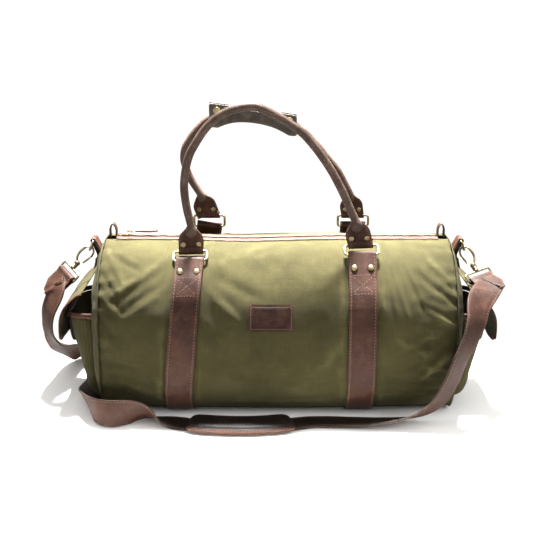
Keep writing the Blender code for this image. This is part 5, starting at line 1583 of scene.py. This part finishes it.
# ---- shoulder strap ----
def half_strap(side, bar, wide):
    """The strap's middle line and side direction, from its folded end at the eye to the pad's middle."""
    thick = SHOULDER_THICK
    wrap = 0.0015 + GAP + 0.0004 + thick / 2
    route = LEFT_ROUTE if side == "left" else RIGHT_ROUTE[::-1]
    pad = PAD_ROUTE[:3] if side == "left" else PAD_ROUTE[:1:-1]
    first = np.asarray(route[0][0])
    away = unit(first - bar)
    away = unit(away - wide * (away @ wide))
    face = unit(np.cross(away, wide))
    face = face if face[1] < 0 else -face
    layer = (thick + GAP) / 2
    points = [(bar - face * (layer + 0.0002) + away * d, wide) for d in (0.022, 0.006)]
    points += [(p, wide) for p in fold_arc(bar, away, face, wrap, 7)]
    points += [(bar + face * (layer + 0.0002) + away * d, wide) for d in (0.006, 0.022)]
    tail = [(np.asarray(p), unit(w)) for p, w in [*route, *pad]]
    if side == "right":
        tail = [(p, -w if w[0] * wide[0] < 0 and k < 1 else w) for k, (p, w) in enumerate(tail)]
    sign = 1.0 if tail[0][1] @ wide > 0 else -1.0
    joined = [(points[-1][0], wide), *[(p, w * sign) for p, w in tail]]
    rows = np.array([[*p, *w] for p, w in joined])
    smooth = smooth_path(rows, 420)
    line = [p for p, _ in points[:-1]] + [row[:3] for row in smooth]
    sides = np.array([unit(w) for w in [w for _, w in points[:-1]] + [row[3:] for row in smooth]])
    line = np.array(line)
    sides = square_to(runs_of(line), sides)
    line[:, 2] = np.maximum(line[:, 2], STRAP_LIE + SHOULDER_WIDTH / 2 * np.abs(sides[:, 2]))
    return line, sides


def make_shoulder_strap(ends):
    """The whole shoulder strap as one piece. Returns it, its line and the steps along it."""
    left, left_sides = half_strap("left", *ends["left"])
    right, right_sides = half_strap("right", *ends["right"])
    right_sides = right_sides if right_sides[-1] @ left_sides[-1] > 0 else -right_sides
    line = np.vstack([left, right[::-1][1:]])
    sides = np.vstack([left_sides, right_sides[::-1][1:]])
    fine = smooth_path(np.hstack([line, sides]), 900)
    line, sides = fine[:, :3], np.array([unit(v) for v in fine[:, 3:]])
    width, thick = SHOULDER_WIDTH - 0.0004, 0.0029
    # the strap's reverse is painted shade, in the near-black leather
    strap = sweep("shoulder_strap_leather", line, sides, width, thick, [STRAP, EDGE, SHADE_LEATHER], ripple=0.0002)
    place(strap, "bag", "leather", "shoulder_strap_left", "shoulder_strap_right")
    stitch_edges("bag:shoulder", line, sides, width, thick, both=True)
    return strap, line, steps_of(line)


def make_pad():
    """The padded part of the shoulder strap."""
    line = smooth_path([p for p, _ in PAD_ROUTE], 90)
    line[:, 2] = 0.0040
    run = runs_of(line)
    across_profile = [(-1.0, 0.0), (-1.0, 0.0022), (-0.975, 0.0030), (-0.90, 0.0031), (-0.84, 0.0026),
                      (-0.78, 0.0032),
                      (-0.70, 0.0034), (-0.66, 0.0048), (-0.60, 0.0062), (-0.45, 0.0071), (-0.2, 0.0075),
                      (0, 0.0076),
                      (0.2, 0.0075), (0.45, 0.0071), (0.60, 0.0062), (0.66, 0.0048), (0.70, 0.0034),
                      (0.78, 0.0032),
                      (0.84, 0.0026), (0.90, 0.0031), (0.975, 0.0030), (1.0, 0.0022), (1.0, 0.0),
                      (0.5, 0.0), (-0.5, 0)]
    points, uv, wear = [], [], []
    rim_rows = {-1: [], 1: []}
    for k, (p, t) in enumerate(zip(line, run)):
        across = np.array([t[1], -t[0], 0])
        u = abs(2 * k / (len(line) - 1) - 1)
        half = 0.0268 * (1 - u ** 14) ** 0.30 + 0.0006
        low = min(1.0, (1 - u) / 0.075)
        row = []
        for a, h in across_profile:
            rise = h if h <= 0.0034 else 0.0034 + (h - 0.0034) * low ** 0.7
            rise += 0.0003 * noise.noise(Vector((k * 0.15, a * 4, 2))) * (h > 0.004)
            row.append(p + across * a * half + np.array([0, 0, rise]))
        points.append(row)
        uv.append([(k * 0.0017, a * half) for a, h in [*across_profile, across_profile[0]]])
        wear.append([1.0 if abs(a) > 0.96 else 0.0 for a, h in across_profile])
        for s in (-1, 1):
            rim_rows[s].append(p + across * s * half * 0.84 + np.array([0, 0, 0.0029]))
    # the raised middle of the pad's top is painted shade, in the near-black leather; its border and underside
    # are strap leather
    pick = [0 if abs(a) >= 0.70 or h == 0 else 1 for a, h in across_profile]
    pad = grid("shoulder_pad_leather", points, uv, [STRAP, SHADE_LEATHER], closed=True, caps=True, wear=wear,
               column_pick=pick)
    place(pad, "bag", "leather", "shoulder_pad")
    for s in (-1, 1):
        stitch("bag:shoulder", rim_rows[s][2:-2], (0, 0, 1), pitch=0.0046)
    for k in (4, -5):
        across = rim_rows[1][k] - rim_rows[-1][k]
        row = [rim_rows[-1][k] + across * t + np.array([0, 0, 0.0003]) for t in np.linspace(0, 1, 20)]
        stitch("bag:shoulder", row, (0, 0, 1), pitch=0.0046)
    return pad


# ---- the CAD pieces that stay, in their own materials ----
def paint(name, mat, bevel=0.0):
    """Gives a CAD piece a material, and rounds its edges where asked."""
    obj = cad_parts[name]
    obj.data.materials.clear()
    obj.data.materials.append(mat)
    if bevel:
        add_modifiers(obj, ("BEVEL", {"width": bevel, "segments": 2, "limit_method": "ANGLE"}))


make_stage()
hook_ends = {}
for end_side, end_sign in SIDES:
    ring_apex = make_d_ring(end_side, end_sign)
    hook_ends[end_side] = make_hook(end_side, end_sign, ring_apex)
shoulder, shoulder_line, shoulder_steps = make_shoulder_strap(hook_ends)
shoulder_pad = make_pad()
make_shell()
make_end_panels()
make_body_straps()
make_handle("front", FRONT_BAR, FRONT_ARCH, {"left": -0.1172, "right": 0.1127})
rear_path = make_handle("rear", REAR_BAR, REAR_ARCH, {"left": -0.1008, "right": 0.1132})
make_wrap(rear_path)
make_zip()
make_zip_tabs()
for end_side, end_sign in SIDES:
    make_pocket(end_side, end_sign)
    make_flap(end_side, end_sign)
make_patch()
paint("lining", LINING)
paint("base_board", BOARD, 0.0006)
paint("zip_tape_front", TAPE)
paint("zip_tape_rear", TAPE)
stitched = add_stitches()
